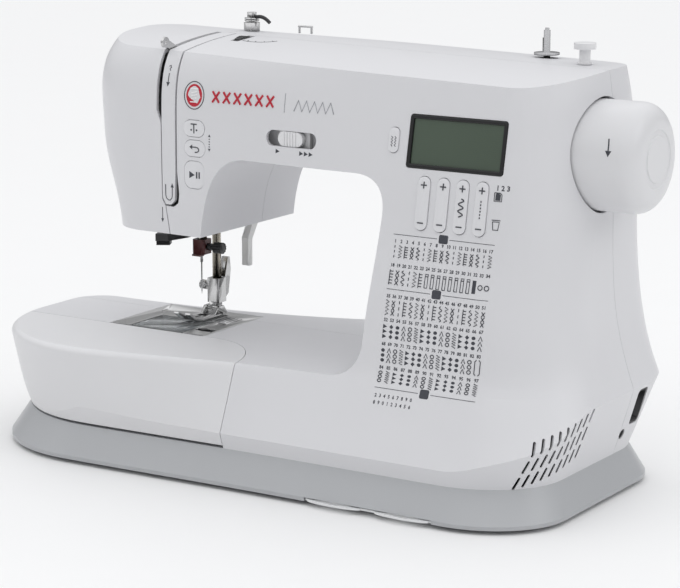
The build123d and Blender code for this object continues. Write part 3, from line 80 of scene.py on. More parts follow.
# ---------------------------------------------------------------- finishes
class Net:
    """A material's node tree, with short calls for the nodes that the finishes share."""

    def __init__(self, name: str) -> None:
        """Starts an empty material.

        Args:
            name: the material's name.
        """
        self.material = bpy.data.materials.new(name)
        self.material.use_nodes = True
        self.tree = self.material.node_tree
        self.shader = self.tree.nodes["Principled BSDF"]
        self.place = self.add("ShaderNodeTexCoord").outputs["Object"]

    def add(self, kind: str, **values: object) -> bpy.types.Node:
        """Adds a node and sets its properties.

        Args:
            kind: the node's type name.
            values: attributes to set.

        Returns:
            The new node.
        """
        node = self.tree.nodes.new(kind)
        for key, value in values.items():
            setattr(node, key, value)
        return node

    def link(self, a: bpy.types.NodeSocket, b: bpy.types.NodeSocket) -> None:
        """Joins two sockets."""
        self.tree.links.new(a, b)

    def noise(self, scale: float, detail: float = 3.0,
              stretch: Sequence[float] = (1, 1, 1)) -> bpy.types.NodeSocket:
        """Noise on object coordinates.

        Args:
            scale: noise scale, per metre.
            detail: octaves.
            stretch: scale of each axis.

        Returns:
            The noise value socket.
        """
        mapping = self.add("ShaderNodeMapping")
        mapping.inputs["Scale"].default_value = stretch
        self.link(self.place, mapping.inputs["Vector"])
        noise = self.add("ShaderNodeTexNoise")
        noise.inputs["Scale"].default_value = scale
        noise.inputs["Detail"].default_value = detail
        self.link(mapping.outputs["Vector"], noise.inputs["Vector"])
        return noise.outputs["Fac"]

    def blend(self, factor: bpy.types.NodeSocket, low: Colour, high: Colour) -> None:
        """Runs the base colour from low to high with a factor."""
        ramp = self.add("ShaderNodeValToRGB")
        ramp.color_ramp.elements[0].position, ramp.color_ramp.elements[1].position = 0.3, 0.7
        ramp.color_ramp.elements[0].color = (*low, 1)
        ramp.color_ramp.elements[1].color = (*high, 1)
        self.link(factor, ramp.inputs["Fac"])
        self.link(ramp.outputs["Color"], self.shader.inputs["Base Color"])

    def vary_roughness(self, factor: bpy.types.NodeSocket, low: float, high: float) -> None:
        """Runs the roughness from low to high with a factor."""
        spread = self.add("ShaderNodeMapRange")
        spread.inputs["To Min"].default_value = low
        spread.inputs["To Max"].default_value = high
        self.link(factor, spread.inputs["Value"])
        self.link(spread.outputs["Result"], self.shader.inputs["Roughness"])

    def bump(self, height: bpy.types.NodeSocket, strength: float, distance: float) -> None:
        """Adds relief from a height socket."""
        bump = self.add("ShaderNodeBump")
        bump.inputs["Strength"].default_value = strength
        bump.inputs["Distance"].default_value = distance
        self.link(height, bump.inputs["Height"])
        self.link(bump.outputs["Normal"], self.shader.inputs["Normal"])

    def set(self, **values: object) -> None:
        """Sets shader sockets by their names, with _ for spaces."""
        for key, value in values.items():
            self.shader.inputs[key.replace("_", " ")].default_value = value


def shade(colour: Colour, by: float) -> Colour:
    """A colour made lighter or darker by a factor."""
    return tuple(min(1.0, c * by) for c in colour)


@dataclass(frozen=True)
class Moulded:
    """Injection-moulded plastic: fine grain, slight flow marks and a soft gloss."""

    name: str
    colour: Colour
    roughness: float = 0.34
    grain: float = 0.05
    mottle: float = 0.02
    coat: float = 0.0

    def build(self) -> bpy.types.Material:
        """Makes the material."""
        net = Net(self.name)
        net.blend(net.noise(14, 4), shade(self.colour, 1 - self.mottle), shade(self.colour, 1 + self.mottle))
        net.vary_roughness(net.noise(60, 2), self.roughness - 0.05, self.roughness + 0.06)
        net.bump(net.noise(5200, 2), self.grain, 0.00004)
        net.set(IOR=1.5, Coat_Weight=self.coat, Coat_Roughness=0.12)
        return net.material


@dataclass(frozen=True)
class Metal:
    """Metal with a direction of brushing or grinding."""

    name: str
    colour: Colour
    roughness: float = 0.28
    along: tuple[float, float, float] = (1, 1, 1)
    lines: float = 0.12
    spread: float = 0.08

    def build(self) -> bpy.types.Material:
        """Makes the material."""
        net = Net(self.name)
        fine = net.noise(1500, 3, self.along)
        net.blend(fine, shade(self.colour, 0.86), shade(self.colour, 1.06))
        low, high = self.roughness - self.spread, self.roughness + self.spread
        net.vary_roughness(net.noise(400, 3, self.along), low, high)
        net.bump(fine, self.lines, 0.00003)
        net.set(Metallic=1.0)
        return net.material


@dataclass(frozen=True)
class Clear:
    """Clear or tinted plastic and glass."""

    name: str
    colour: Colour
    roughness: float = 0.06
    transmission: float = 0.9

    def build(self) -> bpy.types.Material:
        """Makes the material."""
        net = Net(self.name)
        net.blend(net.noise(30, 2), shade(self.colour, 0.96), shade(self.colour, 1.02))
        net.vary_roughness(net.noise(300, 3), self.roughness * 0.6, self.roughness * 1.8)
        net.bump(net.noise(900, 2), 0.03, 0.00002)
        net.set(Transmission_Weight=self.transmission, IOR=1.49)
        return net.material


@dataclass(frozen=True)
class Crystal:
    """The display's glass: faint dot rows under a clear cover."""

    name: str
    colour: Colour
    pitch: float = 1500.0

    def build(self) -> bpy.types.Material:
        """Makes the material."""
        net = Net(self.name)
        rows = net.add("ShaderNodeTexWave", wave_type="BANDS", bands_direction="Z")
        rows.inputs["Scale"].default_value = self.pitch / 6.28
        net.link(net.place, rows.inputs["Vector"])
        mix = net.add("ShaderNodeMath", operation="ADD")
        net.link(net.noise(9, 3), mix.inputs[0])
        fade = net.add("ShaderNodeMath", operation="MULTIPLY")
        fade.inputs[1].default_value = 0.06
        net.link(rows.outputs["Fac"], fade.inputs[0])
        net.link(fade.outputs[0], mix.inputs[1])
        net.blend(mix.outputs[0], shade(self.colour, 0.9), shade(self.colour, 1.1))
        net.set(Roughness=0.12, Coat_Weight=0.6, Coat_Roughness=0.04)
        return net.material


class Finish(Enum):
    """Every finish on the machine, with its maker."""

    SHELL = Moulded("shell_plastic", (0.69, 0.69, 0.71), 0.36, 0.04, 0.008)
    TABLE = Moulded("table_plastic", (0.72, 0.72, 0.735), 0.36, 0.04, 0.008)
    BASE = Moulded("base_plastic", (0.43, 0.44, 0.455), 0.30, 0.05, 0.012)
    WHEEL = Moulded("wheel_plastic", (0.70, 0.70, 0.715), 0.34, 0.04, 0.008)
    KEY = Moulded("key_plastic", (0.72, 0.72, 0.74), 0.30, 0.03, 0.008)
    KNOB = Moulded("knob_plastic", (0.76, 0.76, 0.77), 0.28, 0.03, 0.01)
    LEVER = Moulded("lever_plastic", (0.80, 0.80, 0.79), 0.32, 0.04, 0.01)
    CHART = Moulded("chart_plastic", (0.78, 0.79, 0.80), 0.26, 0.03, 0.01)
    STOP = Moulded("winder_plastic", (0.78, 0.78, 0.79), 0.34, 0.04, 0.01)
    DARK = Moulded("case_plastic", (0.018, 0.018, 0.02), 0.38, 0.08, 0.15)
    TIP = Moulded("threader_tip_plastic", (0.55, 0.55, 0.56), 0.35, 0.05, 0.02)
    BEZEL = Moulded("bezel_plastic", (0.012, 0.012, 0.013), 0.3, 0.06, 0.15)
    INK = Moulded("grey_print", (0.045, 0.048, 0.06), 0.55, 0.05, 0.12)
    SOFT_INK = Moulded("soft_grey_print", (0.30, 0.31, 0.33), 0.55, 0.05, 0.08)
    RED_INK = Moulded("red_print", (0.46, 0.012, 0.03), 0.5, 0.05, 0.08)
    WHITE_INK = Moulded("white_print", (0.82, 0.82, 0.82), 0.5, 0.05, 0.02)
    NYLON = Moulded("gear_plastic", (0.78, 0.75, 0.66), 0.45, 0.08, 0.03)
    RUBBER = Moulded("foot_rubber", (0.02, 0.02, 0.02), 0.75, 0.4, 0.2)
    BELT = Moulded("belt_rubber", (0.02, 0.02, 0.022), 0.65, 0.5, 0.2)
    MOTOR = Moulded("motor_paint", (0.03, 0.03, 0.034), 0.35, 0.15, 0.15)
    BOARD = Moulded("board_laminate", (0.02, 0.13, 0.055), 0.4, 0.2, 0.2)
    CLAMP = Moulded("clamp_dark", (0.075, 0.02, 0.02), 0.3, 0.1, 0.3)
    BLACK_SCREW = Moulded("screw_black", (0.014, 0.014, 0.015), 0.32, 0.1, 0.2)
    CAST = Metal("cast_frame", (0.52, 0.53, 0.54), 0.5, (1, 1, 1), 0.4)
    BUSH = Metal("sintered_bush", (0.55, 0.38, 0.18), 0.45)
    SHAFT = Metal("shaft_steel", (0.60, 0.60, 0.60), 0.26, (1, 12, 12))
    NICKEL = Metal("bar_nickel", (0.62, 0.57, 0.48), 0.16, (8, 8, 1), 0.05)
    HOLDER = Metal("holder_steel", (0.58, 0.58, 0.58), 0.24, (1, 1, 1), 0.06)
    PLATE = Metal("plate_steel", (0.66, 0.66, 0.66), 0.3, (1, 26, 1), 0.08)
    SPINDLE = Metal("spindle_steel", (0.45, 0.45, 0.46), 0.22, (1, 1, 6), 0.06)
    CLEAR = Clear("clear_plastic", (0.86, 0.90, 0.92))
    LCD = Crystal("lcd_glass", (0.062, 0.088, 0.062))
    FLOOR = Moulded("studio_floor", (0.90, 0.90, 0.90), 0.55, 0.0, 0.002)

    @property
    def slot(self) -> str:
        """The record's slot that a piece with this finish belongs to."""
        inks = (Finish.INK, Finish.SOFT_INK, Finish.RED_INK, Finish.WHITE_INK)
        shared = {**dict.fromkeys(inks, "shell_plastic"), Finish.TIP: "case_plastic"}
        return shared.get(self, self.value.name)


class Palette:
    """Builds each material once, when it is first asked for."""

    made: dict[Finish, bpy.types.Material] = {}

    @classmethod
    def get(cls, finish: Finish) -> bpy.types.Material:
        """The material of a finish."""
        if finish not in cls.made:
            cls.made[finish] = finish.value.build()
        return cls.made[finish]

    @classmethod
    def paint(cls, piece: bpy.types.Object, finish: Finish) -> None:
        """Gives a piece one finish all over."""
        piece.data.materials.clear()
        piece.data.materials.append(cls.get(finish))


# ---------------------------------------------------------------- workbench
class Bench:
    """Short names for the mesh work that all sub-assemblies share."""

    @staticmethod
    def clear() -> None:
        """Leaves nothing selected, in object mode."""
        if bpy.context.mode != "OBJECT":
            bpy.ops.object.mode_set(mode="OBJECT")
        bpy.ops.object.select_all(action="DESELECT")

    @staticmethod
    def focus(piece: bpy.types.Object) -> None:
        """Selects one piece and makes it active."""
        Bench.clear()
        piece.select_set(True)
        bpy.context.view_layer.objects.active = piece

    @staticmethod
    def edit(piece: bpy.types.Object) -> None:
        """Enters edit mode on a piece with nothing selected."""
        Bench.focus(piece)
        bpy.ops.object.mode_set(mode="EDIT")
        bpy.ops.mesh.select_all(action="DESELECT")

    @staticmethod
    def modify(piece: bpy.types.Object, kind: str, **values: object) -> None:
        """Adds a modifier with its settings and applies it."""
        Bench.focus(piece)
        modifier = piece.modifiers.new(kind.lower(), kind)
        for key, value in values.items():
            setattr(modifier, key, value)
        bpy.ops.object.modifier_apply(modifier=modifier.name)

    @staticmethod
    def join(pieces: Sequence[bpy.types.Object]) -> bpy.types.Object:
        """Joins pieces into the first one."""
        Bench.clear()
        for piece in pieces:
            piece.select_set(True)
        bpy.context.view_layer.objects.active = pieces[0]
        bpy.ops.object.join()
        return pieces[0]

    @staticmethod
    def smooth(piece: bpy.types.Object, degrees: float) -> None:
        """Shades a piece smooth, except across edges sharper than an angle."""
        Bench.focus(piece)
        bpy.ops.object.shade_smooth_by_angle(angle=math.radians(degrees))

    @staticmethod
    def open_ring(piece: bpy.types.Object, first: bmesh.types.BMVert, last: bmesh.types.BMVert) -> None:
        """Takes out the edge that closes a ring, in edit mode."""
        mesh = bmesh.from_edit_mesh(piece.data)
        for edge in list(first.link_edges):
            if edge.other_vert(first) == last:
                mesh.edges.remove(edge)
                break
        bmesh.update_edit_mesh(piece.data)

    @staticmethod
    def settle(piece: bpy.types.Object) -> None:
        """Puts a piece's place into its mesh."""
        Bench.focus(piece)
        bpy.ops.object.transform_apply(location=True, rotation=True, scale=True)


class Assembly:
    """A sub-assembly of the machine. It keeps the frame and reports what it builds."""

    def __init__(self, frame: dict) -> None:
        """Keeps the loaded frame.
        """
        self.frame = frame
        bodies = frame["record"]["behaviour"]["bodies"]
        self.body_of = {node: body for body, nodes in bodies.items() for node in nodes}

    def paint(self, finish: Finish, *nodes: str) -> None:
        """Gives carried-over CAD nodes their finish."""
        for node in nodes:
            Palette.paint(self.frame["nodes"][node], finish)
            log.info("node %s: %s", node, finish.value.name)

    def dress(self, node: str, finish: Finish, angle: float = 28.0,
              round_to: float = 0.0) -> bpy.types.Object:
        """Replaces a CAD node by a smoothed copy of it.

        Args:
            node: the CAD node.
            finish: the copy's finish.
            angle: edges sharper than this stay sharp, in degrees.
            round_to: width of a small rounding on sharp edges, in metres.

        Returns:
            The copy.
        """
        source = self.frame["nodes"][node]
        piece = source.copy()
        piece.data = source.data.copy()
        for key in list(piece.keys()):
            del piece[key]
        piece.name = f"{node}_finished"
        piece.parent = None
        bpy.context.scene.collection.objects.link(piece)
        Bench.edit(piece)
        bpy.ops.mesh.select_all(action="SELECT")
        bpy.ops.mesh.remove_doubles(threshold=0.000004)
        bpy.ops.object.mode_set(mode="OBJECT")
        if round_to:
            Bench.modify(piece, "BEVEL", width=round_to, segments=2, limit_method="ANGLE",
                         angle_limit=math.radians(50), harden_normals=False)
        Bench.smooth(piece, angle)
        Palette.paint(piece, finish)
        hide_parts(node)
        return self.keep(piece, finish, self.body_of[node])

    def keep(self, piece: bpy.types.Object, finish: Finish, body: str, slot: str = "") -> bpy.types.Object:
        """Attaches a finished piece to its body, and reports it."""
        slot or finish.slot
        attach(piece, body)
        log.info("piece %s rides on %s", piece.name, body)
        return piece


# ---------------------------------------------------------------- printed marks
class Marks:
    """Thin marks drawn on a flat sheet, then laid on one surface of the machine."""

    SHEET_Y = -0.3        # where the sheet stands in front of the machine, in metres
    SHEET_Z = 0.4         # where it lies above the machine, in metres
    LIFT = 0.00005        # how far a filled mark stands off the surface, in metres

    def __init__(self, name: str, host: bpy.types.Object, origin: Vector, down: bool = False) -> None:
        """Starts an empty sheet.

        Args:
            name: the finished piece's name.
            host: the object whose surface takes the marks.
            origin: where the sheet's zero lies in the frame, in metres.
            down: whether the marks go down on a top face. Otherwise they go back on a front face.
        """
        self.name, self.host, self.origin, self.down = name, host, origin, down
        self.strokes: list[list[Vector]] = []
        self.fills: list[list[Vector]] = []
        self.words: list[tuple[str, Vector, float]] = []

    def at(self, u: float, v: float) -> Vector:
        """A point of the sheet, in mm, as a point of the frame."""
        if self.down:
            return Vector((self.origin.x + u * MM, self.origin.y + v * MM, self.SHEET_Z))
        return Vector((self.origin.x + u * MM, self.SHEET_Y, self.origin.z + v * MM))

    def line(self, *points: Point) -> None:
        """Draws an open line through points."""
        if len(points) == 2:
            (a, b), (c, d) = points
            points = ((a, b), ((a + c) / 2, (b + d) / 2), (c, d))
        self.strokes.append([self.at(*p) for p in points])

    def arc(self, u: float, v: float, radius: Point, start: float = 0.0, end: float = 360.0,
            steps: int = 16) -> None:
        """Draws an arc, or an oval, between two angles in degrees."""
        turns = [math.radians(start + (end - start) * k / steps) for k in range(steps + 1)]
        self.line(*[(u + radius[0] * math.cos(t), v + radius[1] * math.sin(t)) for t in turns])

    def fill(self, *points: Point) -> None:
        """Draws a filled shape."""
        self.fills.append([self.at(*p) for p in points])

    def disc(self, u: float, v: float, radius: Point, steps: int = 16) -> None:
        """Draws a filled oval."""
        turns = [2 * math.pi * k / steps for k in range(steps)]
        self.fill(*[(u + radius[0] * math.cos(t), v + radius[1] * math.sin(t)) for t in turns])

    def word(self, text: str, u: float, v: float, size: float) -> None:
        """Writes a few characters centred at a point."""
        self.words.append((text, self.at(u, v), size * MM))

    def outlines(self, shapes: Sequence[Sequence[Vector]], filled: bool) -> bpy.types.Object:
        """Makes one object from rings whose vertices are moved onto the shapes."""
        kind = "NGON" if filled else "NOTHING"
        Bench.clear()
        bpy.ops.mesh.primitive_circle_add(vertices=len(shapes[0]), radius=MM, fill_type=kind)
        piece = bpy.context.object
        Bench.edit(piece)
        bpy.ops.mesh.select_mode(type="VERT")
        bpy.ops.mesh.select_all(action="SELECT")
        for shape in shapes:
            if shape is not shapes[0]:
                bpy.ops.mesh.select_all(action="DESELECT")
                bpy.ops.mesh.primitive_circle_add(vertices=len(shape), radius=MM, fill_type=kind)
            mesh = bmesh.from_edit_mesh(piece.data)
            ring = [vertex for vertex in mesh.verts if vertex.select]
            for vertex, point in zip(ring, shape):
                vertex.co = point
            bmesh.update_edit_mesh(piece.data)
            if not filled:
                Bench.open_ring(piece, ring[0], ring[-1])
        bpy.ops.object.mode_set(mode="OBJECT")
        return piece

    def lay(self, piece: bpy.types.Object, offset: float) -> None:
        """Moves a piece's vertices onto the host's surface."""
        Bench.modify(piece, "SHRINKWRAP", target=self.host, wrap_method="PROJECT", offset=offset,
                     use_project_y=not self.down, use_project_z=self.down,
                     use_positive_direction=not self.down, use_negative_direction=self.down)
        Bench.edit(piece)
        bpy.ops.mesh.select_mode(type="VERT")
        mesh = bmesh.from_edit_mesh(piece.data)
        missed = 0
        for vertex in mesh.verts:
            gap = vertex.co.z - self.SHEET_Z if self.down else vertex.co.y - self.SHEET_Y
            vertex.select_set(abs(gap) < 0.02)
            missed += vertex.select
        bmesh.update_edit_mesh(piece.data)
        if missed:
            bpy.ops.mesh.delete(type="VERT")
            log.info("sheet %s: %d points fell beside the surface", self.name, missed)
        bpy.ops.object.mode_set(mode="OBJECT")

    def letters(self) -> bpy.types.Object:
        """Makes the words as one flat object."""
        made = []
        for text, place, size in self.words:
            Bench.clear()
            bpy.ops.object.text_add(location=place, rotation=(0 if self.down else math.pi / 2, 0, 0))
            piece = bpy.context.object
            piece.data.body, piece.data.size = text, size
            piece.data.align_x, piece.data.align_y = "CENTER", "CENTER"
            piece.data.resolution_u = 2
            piece.data.offset = 0.03 * size
            bpy.ops.object.convert(target="MESH")
            made.append(bpy.context.object)
        piece = Bench.join(made)
        Bench.settle(piece)
        return piece

    def press(self, radius: float) -> bpy.types.Object:
        """Lays every mark on the surface.

        Args:
            radius: half the width of the lines, in mm.

        Returns:
            One object that holds all the marks.
        """
        made = []
        if self.strokes:
            piece = self.outlines(self.strokes, False)
            self.lay(piece, 0.0)
            Bench.focus(piece)
            bpy.ops.object.convert(target="CURVE")
            piece = bpy.context.object
            piece.data.bevel_depth, piece.data.bevel_resolution = radius * MM, 1
            piece.data.use_fill_caps = True
            bpy.ops.object.convert(target="MESH")
            made.append(bpy.context.object)
        flat = [self.outlines(self.fills, True)] if self.fills else []
        flat += [self.letters()] if self.words else []
        for piece in flat:
            self.lay(piece, self.LIFT)
            Bench.modify(piece, "SOLIDIFY", thickness=self.LIFT, offset=0.0)
            made.append(piece)
        piece = Bench.join(made)
        piece.name = self.name
        Bench.settle(piece)
        return piece




# ---------------------------------------------------------------- casings
@dataclass
class Casings(Assembly):
    """Outer shells, base and rubber feet."""

    frame: dict

    def __post_init__(self) -> None:
        """Reads the frame's bodies."""
        Assembly.__init__(self, self.frame)

    def build(self) -> None:
        """Dresses the shells."""
        self.paint(Finish.SHELL, "front_casing", "rear_casing", "face_cover", "thread_strip")
        self.paint(Finish.TABLE, "extension_table")
        self.paint(Finish.BASE, "base_tray")
        self.paint(Finish.CHART, "reference_tray")
        self.dress("rubber_feet", Finish.RUBBER, 30.0)


@dataclass
class Works(Assembly):
    """Frames, shafts, drive and electrics inside the casings."""

    frame: dict
    inside: dict[Finish, tuple[str, ...]] = field(default_factory=lambda: {
        Finish.CAST: ("arm_frame", "bed_frame"),
        Finish.BUSH: ("shaft_bushes",),
        Finish.SHAFT: ("frame_screws", "main_shaft", "crank_disc", "lower_shaft", "rotary_hook",
                       "motor_rotor", "presser_spring", "tension_unit"),
        Finish.NYLON: ("upper_pulley", "lower_wheels", "winder_arm"),
        Finish.BELT: ("drive_belts",),
        Finish.MOTOR: ("motor_case",),
        Finish.BOARD: ("circuit_boards",),
        Finish.DARK: ("bobbin_case",),
        Finish.CLEAR: ("bobbin",),
    })

    def __post_init__(self) -> None:
        """Reads the frame's bodies."""
        Assembly.__init__(self, self.frame)

    def build(self) -> None:
        """Paints the hidden works."""
        for finish, nodes in self.inside.items():
            self.paint(finish, *nodes)


@dataclass
class Handwheel(Assembly):
    """The handwheel. Its printed arrow is laid on by TopDetails."""

    frame: dict

    def __post_init__(self) -> None:
        """Reads the frame's bodies."""
        Assembly.__init__(self, self.frame)

    def build(self) -> None:
        """Dresses the wheel."""
        self.paint(Finish.WHEEL, "handwheel")


@dataclass
class SewingHead(Assembly):
    """Needle bar, presser bar, foot, threader, plate and covers."""

    frame: dict
    pieces: dict[Finish, tuple[str, ...]] = field(default_factory=lambda: {
        Finish.NICKEL: ("needle_bar", "presser_bar"),
        Finish.HOLDER: ("foot_holder", "presser_foot", "plate_screws"),
        Finish.PLATE: ("needle_plate",),
        Finish.SHAFT: ("needle", "take_up_lever", "thread_guides", "feed_dog"),
        Finish.CLAMP: ("needle_clamp",),
        Finish.BLACK_SCREW: ("clamp_screw",),
        Finish.LEVER: ("presser_lifter",),
        Finish.DARK: ("needle_threader", "cover_release", "tension_dial"),
        Finish.CLEAR: ("bobbin_cover",),
    })

    def __post_init__(self) -> None:
        """Reads the frame's bodies."""
        Assembly.__init__(self, self.frame)

    def build(self) -> None:
        """Dresses the moving pieces of the head."""
        for finish, nodes in self.pieces.items():
            for node in nodes:
                self.dress(node, finish, 30.0)


@dataclass
class Controls(Assembly):
    """Buttons, keys, slider and display."""

    frame: dict
    key_round: float = 0.0004

    def __post_init__(self) -> None:
        """Reads the frame's bodies."""
        Assembly.__init__(self, self.frame)

    def build(self) -> None:
        """Dresses the controls."""
        keys = ["needle_position_button", "reverse_button", "start_stop_button", "mirror_button"]
        keys += [f"rocker_key_{n}" for n in range(1, 5)]
        for node in keys:
            self.dress(node, Finish.KEY, 30.0, self.key_round)
        self.dress("speed_slider", Finish.KNOB, 30.0, 0.0003)
        self.dress("lcd_bezel", Finish.BEZEL, 30.0, 0.0003)
        self.paint(Finish.LCD, "lcd_module")
        self.dress("power_inlet", Finish.DARK, 30.0)
        self.dress("pedal_jack", Finish.DARK, 30.0)
        self.dress("winder_spindle", Finish.SPINDLE, 30.0)
        self.dress("winder_stop", Finish.STOP, 30.0, 0.0004)


# ---------------------------------------------------------------- prints
@dataclass
class ArmPrints(Assembly):
    """Emblem, stitches and speed marks on the arm's front, and the white bed behind the speed knob."""

    frame: dict
    face_z: float = 248.2
    bed_gap: float = 0.0009       # from the knob's back to the middle of its bed, in metres

    def __post_init__(self) -> None:
        """Reads the frame's bodies."""
        Assembly.__init__(self, self.frame)
        self.host = self.frame["nodes"]["front_casing"]

    def sheet(self, name: str, x: float, z: float) -> Marks:
        """Starts a sheet on the arm's front at a point of the drawing."""
        return Marks(name, self.host, drawing(x, 0, z))

    def build(self) -> None:
        """Prints the arm."""
        self.emblem()
        self.stitches()
        self.speed_marks()
        self.slider_bed()

    def emblem(self) -> None:
        """Prints a red badge with a thread spool in it."""
        red = self.sheet("emblem_red", -68.4, self.face_z)
        red.disc(0, 0, (6.5, 7.6), 28)
        self.ink(red, 0.1, Finish.RED_INK)
        rim = self.sheet("emblem_rim", -68.4, self.face_z)
        rim.arc(0, 0, (8.0, 9.2), 0, 360, 32)
        self.ink(rim, 0.35, Finish.INK)
        spool = self.sheet("emblem_spool", -68.4, self.face_z)
        spool.line((-3, 4.4), (3, 4.4))
        spool.line((-3, -4.4), (3, -4.4))
        for k in range(3):
            spool.line((-2.2, 1.6 - 2.0 * k), (2.2, 2.6 - 2.0 * k))
        self.ink(spool, 0.42, Finish.WHITE_INK)

    def stitches(self) -> None:
        """Prints a row of red cross stitches, a divider and a grey zigzag."""
        row = self.sheet("red_cross_stitches", -50.6, self.face_z + 0.1)
        for k in range(6):
            u = 8.7 * k
            row.line((u - 2.7, -3.6), (u + 2.7, 3.6))
            row.line((u - 2.7, 3.6), (u + 2.7, -3.6))
        self.ink(row, 0.8, Finish.RED_INK)
        thin = self.sheet("arm_divider", 4.5, self.face_z)
        thin.line((0, -6.2), (0, 6.2))
        self.ink(thin, 0.28, Finish.SOFT_INK)
        zigzag = self.sheet("grey_zigzag", 12.0, self.face_z - 1.2)
        zigzag.line(*[(3.1 * k, 3.6 if k % 2 else -3.6) for k in range(11)])
        self.ink(zigzag, 0.4, Finish.SOFT_INK)

    def speed_marks(self) -> None:
        """Prints one arrowhead for slow and three for fast, and the reverse button's mark."""
        marks = self.sheet("speed_marks", 0, 216.6)
        for u in (1.2, 20.4, 24.2, 28.0):
            marks.fill((u - 1.5, 1.5), (u + 1.7, 0), (u - 1.5, -1.5))
        for k in range(4):
            marks.disc(-55.4, -2.0 + 1.7 * k, (0.5, 0.5), 8)
        marks.fill((-56.5, -3.2), (-54.3, -3.2), (-55.4, -5.2))
        marks.fill((-56.5, 4.6), (-54.3, 4.6), (-55.4, 6.4))
        self.ink(marks, 0.1, Finish.INK)

    def ink(self, sheet: Marks, radius: float, finish: Finish) -> None:
        """Presses a sheet on and gives it its ink."""
        piece = sheet.press(radius)
        Palette.paint(piece, finish)
        self.keep(piece, finish, "machine", "shell_plastic")

    def slider_bed(self) -> None:
        """Closes the speed slot with the white bed that the knob runs on."""
        knob = self.frame["nodes"]["speed_slider"]
        corners = [knob.matrix_world @ Vector(corner) for corner in knob.bound_box]
        back = max(corner.y for corner in corners)
        middle = drawing(11.5, 0, 225)
        Bench.clear()
        bpy.ops.mesh.primitive_cube_add(size=1.0, location=(middle.x, back + self.bed_gap, middle.z))
        bed = bpy.context.object
        bed.name = "slider_bed"
        bed.dimensions = (0.050, 0.001, 0.019)
        Bench.settle(bed)
        Palette.paint(bed, Finish.KEY)
        self.keep(bed, Finish.KEY, "machine")


@dataclass
class HeadPrints(Assembly):
    """Icons on the three head buttons and the threading marks on the strip."""

    frame: dict

    def __post_init__(self) -> None:
        """Reads the frame's bodies."""
        Assembly.__init__(self, self.frame)

    def centre(self, node: str) -> Vector:
        """The middle of a node's box."""
        piece = self.frame["nodes"][node]
        corners = [piece.matrix_world @ Vector(corner) for corner in piece.bound_box]
        return sum(corners, Vector()) / 8

    def print_on(self, sheet: Marks, radius: float, node: str, slot: str) -> None:
        """Presses a sheet onto a node in dark ink."""
        piece = sheet.press(radius)
        Palette.paint(piece, Finish.INK)
        self.keep(piece, Finish.INK, self.body_of[node], slot)

    def build(self) -> None:
        """Prints the head."""
        self.buttons()
        self.strip()

    def buttons(self) -> None:
        """Prints the button icons."""
        nodes = self.frame["nodes"]
        needle = Marks("needle_icon", nodes["needle_position_button"], self.centre("needle_position_button"))
        needle.line((0, 3.2), (0, -3.2))
        needle.line((-2.4, 3.0), (2.4, 3.0))
        needle.disc(-2.2, -1.0, (0.7, 0.7), 10)
        needle.disc(2.2, -1.0, (0.7, 0.7), 10)
        self.print_on(needle, 0.45, "needle_position_button", "key_plastic")
        turn = Marks("reverse_icon", nodes["reverse_button"], self.centre("reverse_button"))
        bend = [(1.2 + 2.2 * math.sin(a), -0.8 + 1.7 * math.cos(a)) for a in (0, 0.6, 1.2, 1.8, 2.4, 3.1)]
        turn.line((-2.6, 0.9), *bend, (0.2, -2.5))
        turn.fill((-4.4, 0.9), (-2.0, 2.6), (-2.0, -0.8))
        self.print_on(turn, 0.42, "reverse_button", "key_plastic")
        play = Marks("start_stop_icon", nodes["start_stop_button"], self.centre("start_stop_button"))
        play.fill((-4.2, 2.5), (-4.2, -2.5), (0.2, 0))
        play.line((1.9, 2.2), (1.9, -2.2))
        play.line((4.0, 2.2), (4.0, -2.2))
        self.print_on(play, 0.55, "start_stop_button", "key_plastic")

    def strip(self) -> None:
        """Prints the threading path."""
        host = self.frame["nodes"]["thread_strip"]
        path = Marks("threading_marks", host, drawing(-90.0, 0, 180))
        path.line((-2.6, 6.0), (-2.6, -1.4), (-2.0, -3.4), (-0.4, -4.6),
                  (1.2, -4.6), (2.6, -3.2), (3.0, -1.4), (3.0, 4.2))
        path.fill((3.0, 7.2), (1.7, 4.2), (4.3, 4.2))
        path.line((-1.4, 86), (-0.2, 86.6), (0.4, 85.4), (-0.6, 84.4), (0.2, 83.2))
        path.line((-0.4, 81.5), (-0.6, 75))
        path.fill((-0.7, 72.6), (-2.1, 75.6), (0.9, 75.6))
        self.print_on(path, 0.32, "thread_strip", "shell_plastic")
        cover = self.frame["nodes"]["face_cover"]
        down = Marks("thread_arrow", cover, drawing(-95.6, 0, 165))
        down.line((0, 5), (0, -3))
        down.fill((0, -5.4), (-1.2, -2.8), (1.2, -2.8))
        self.print_on(down, 0.28, "face_cover", "shell_plastic")


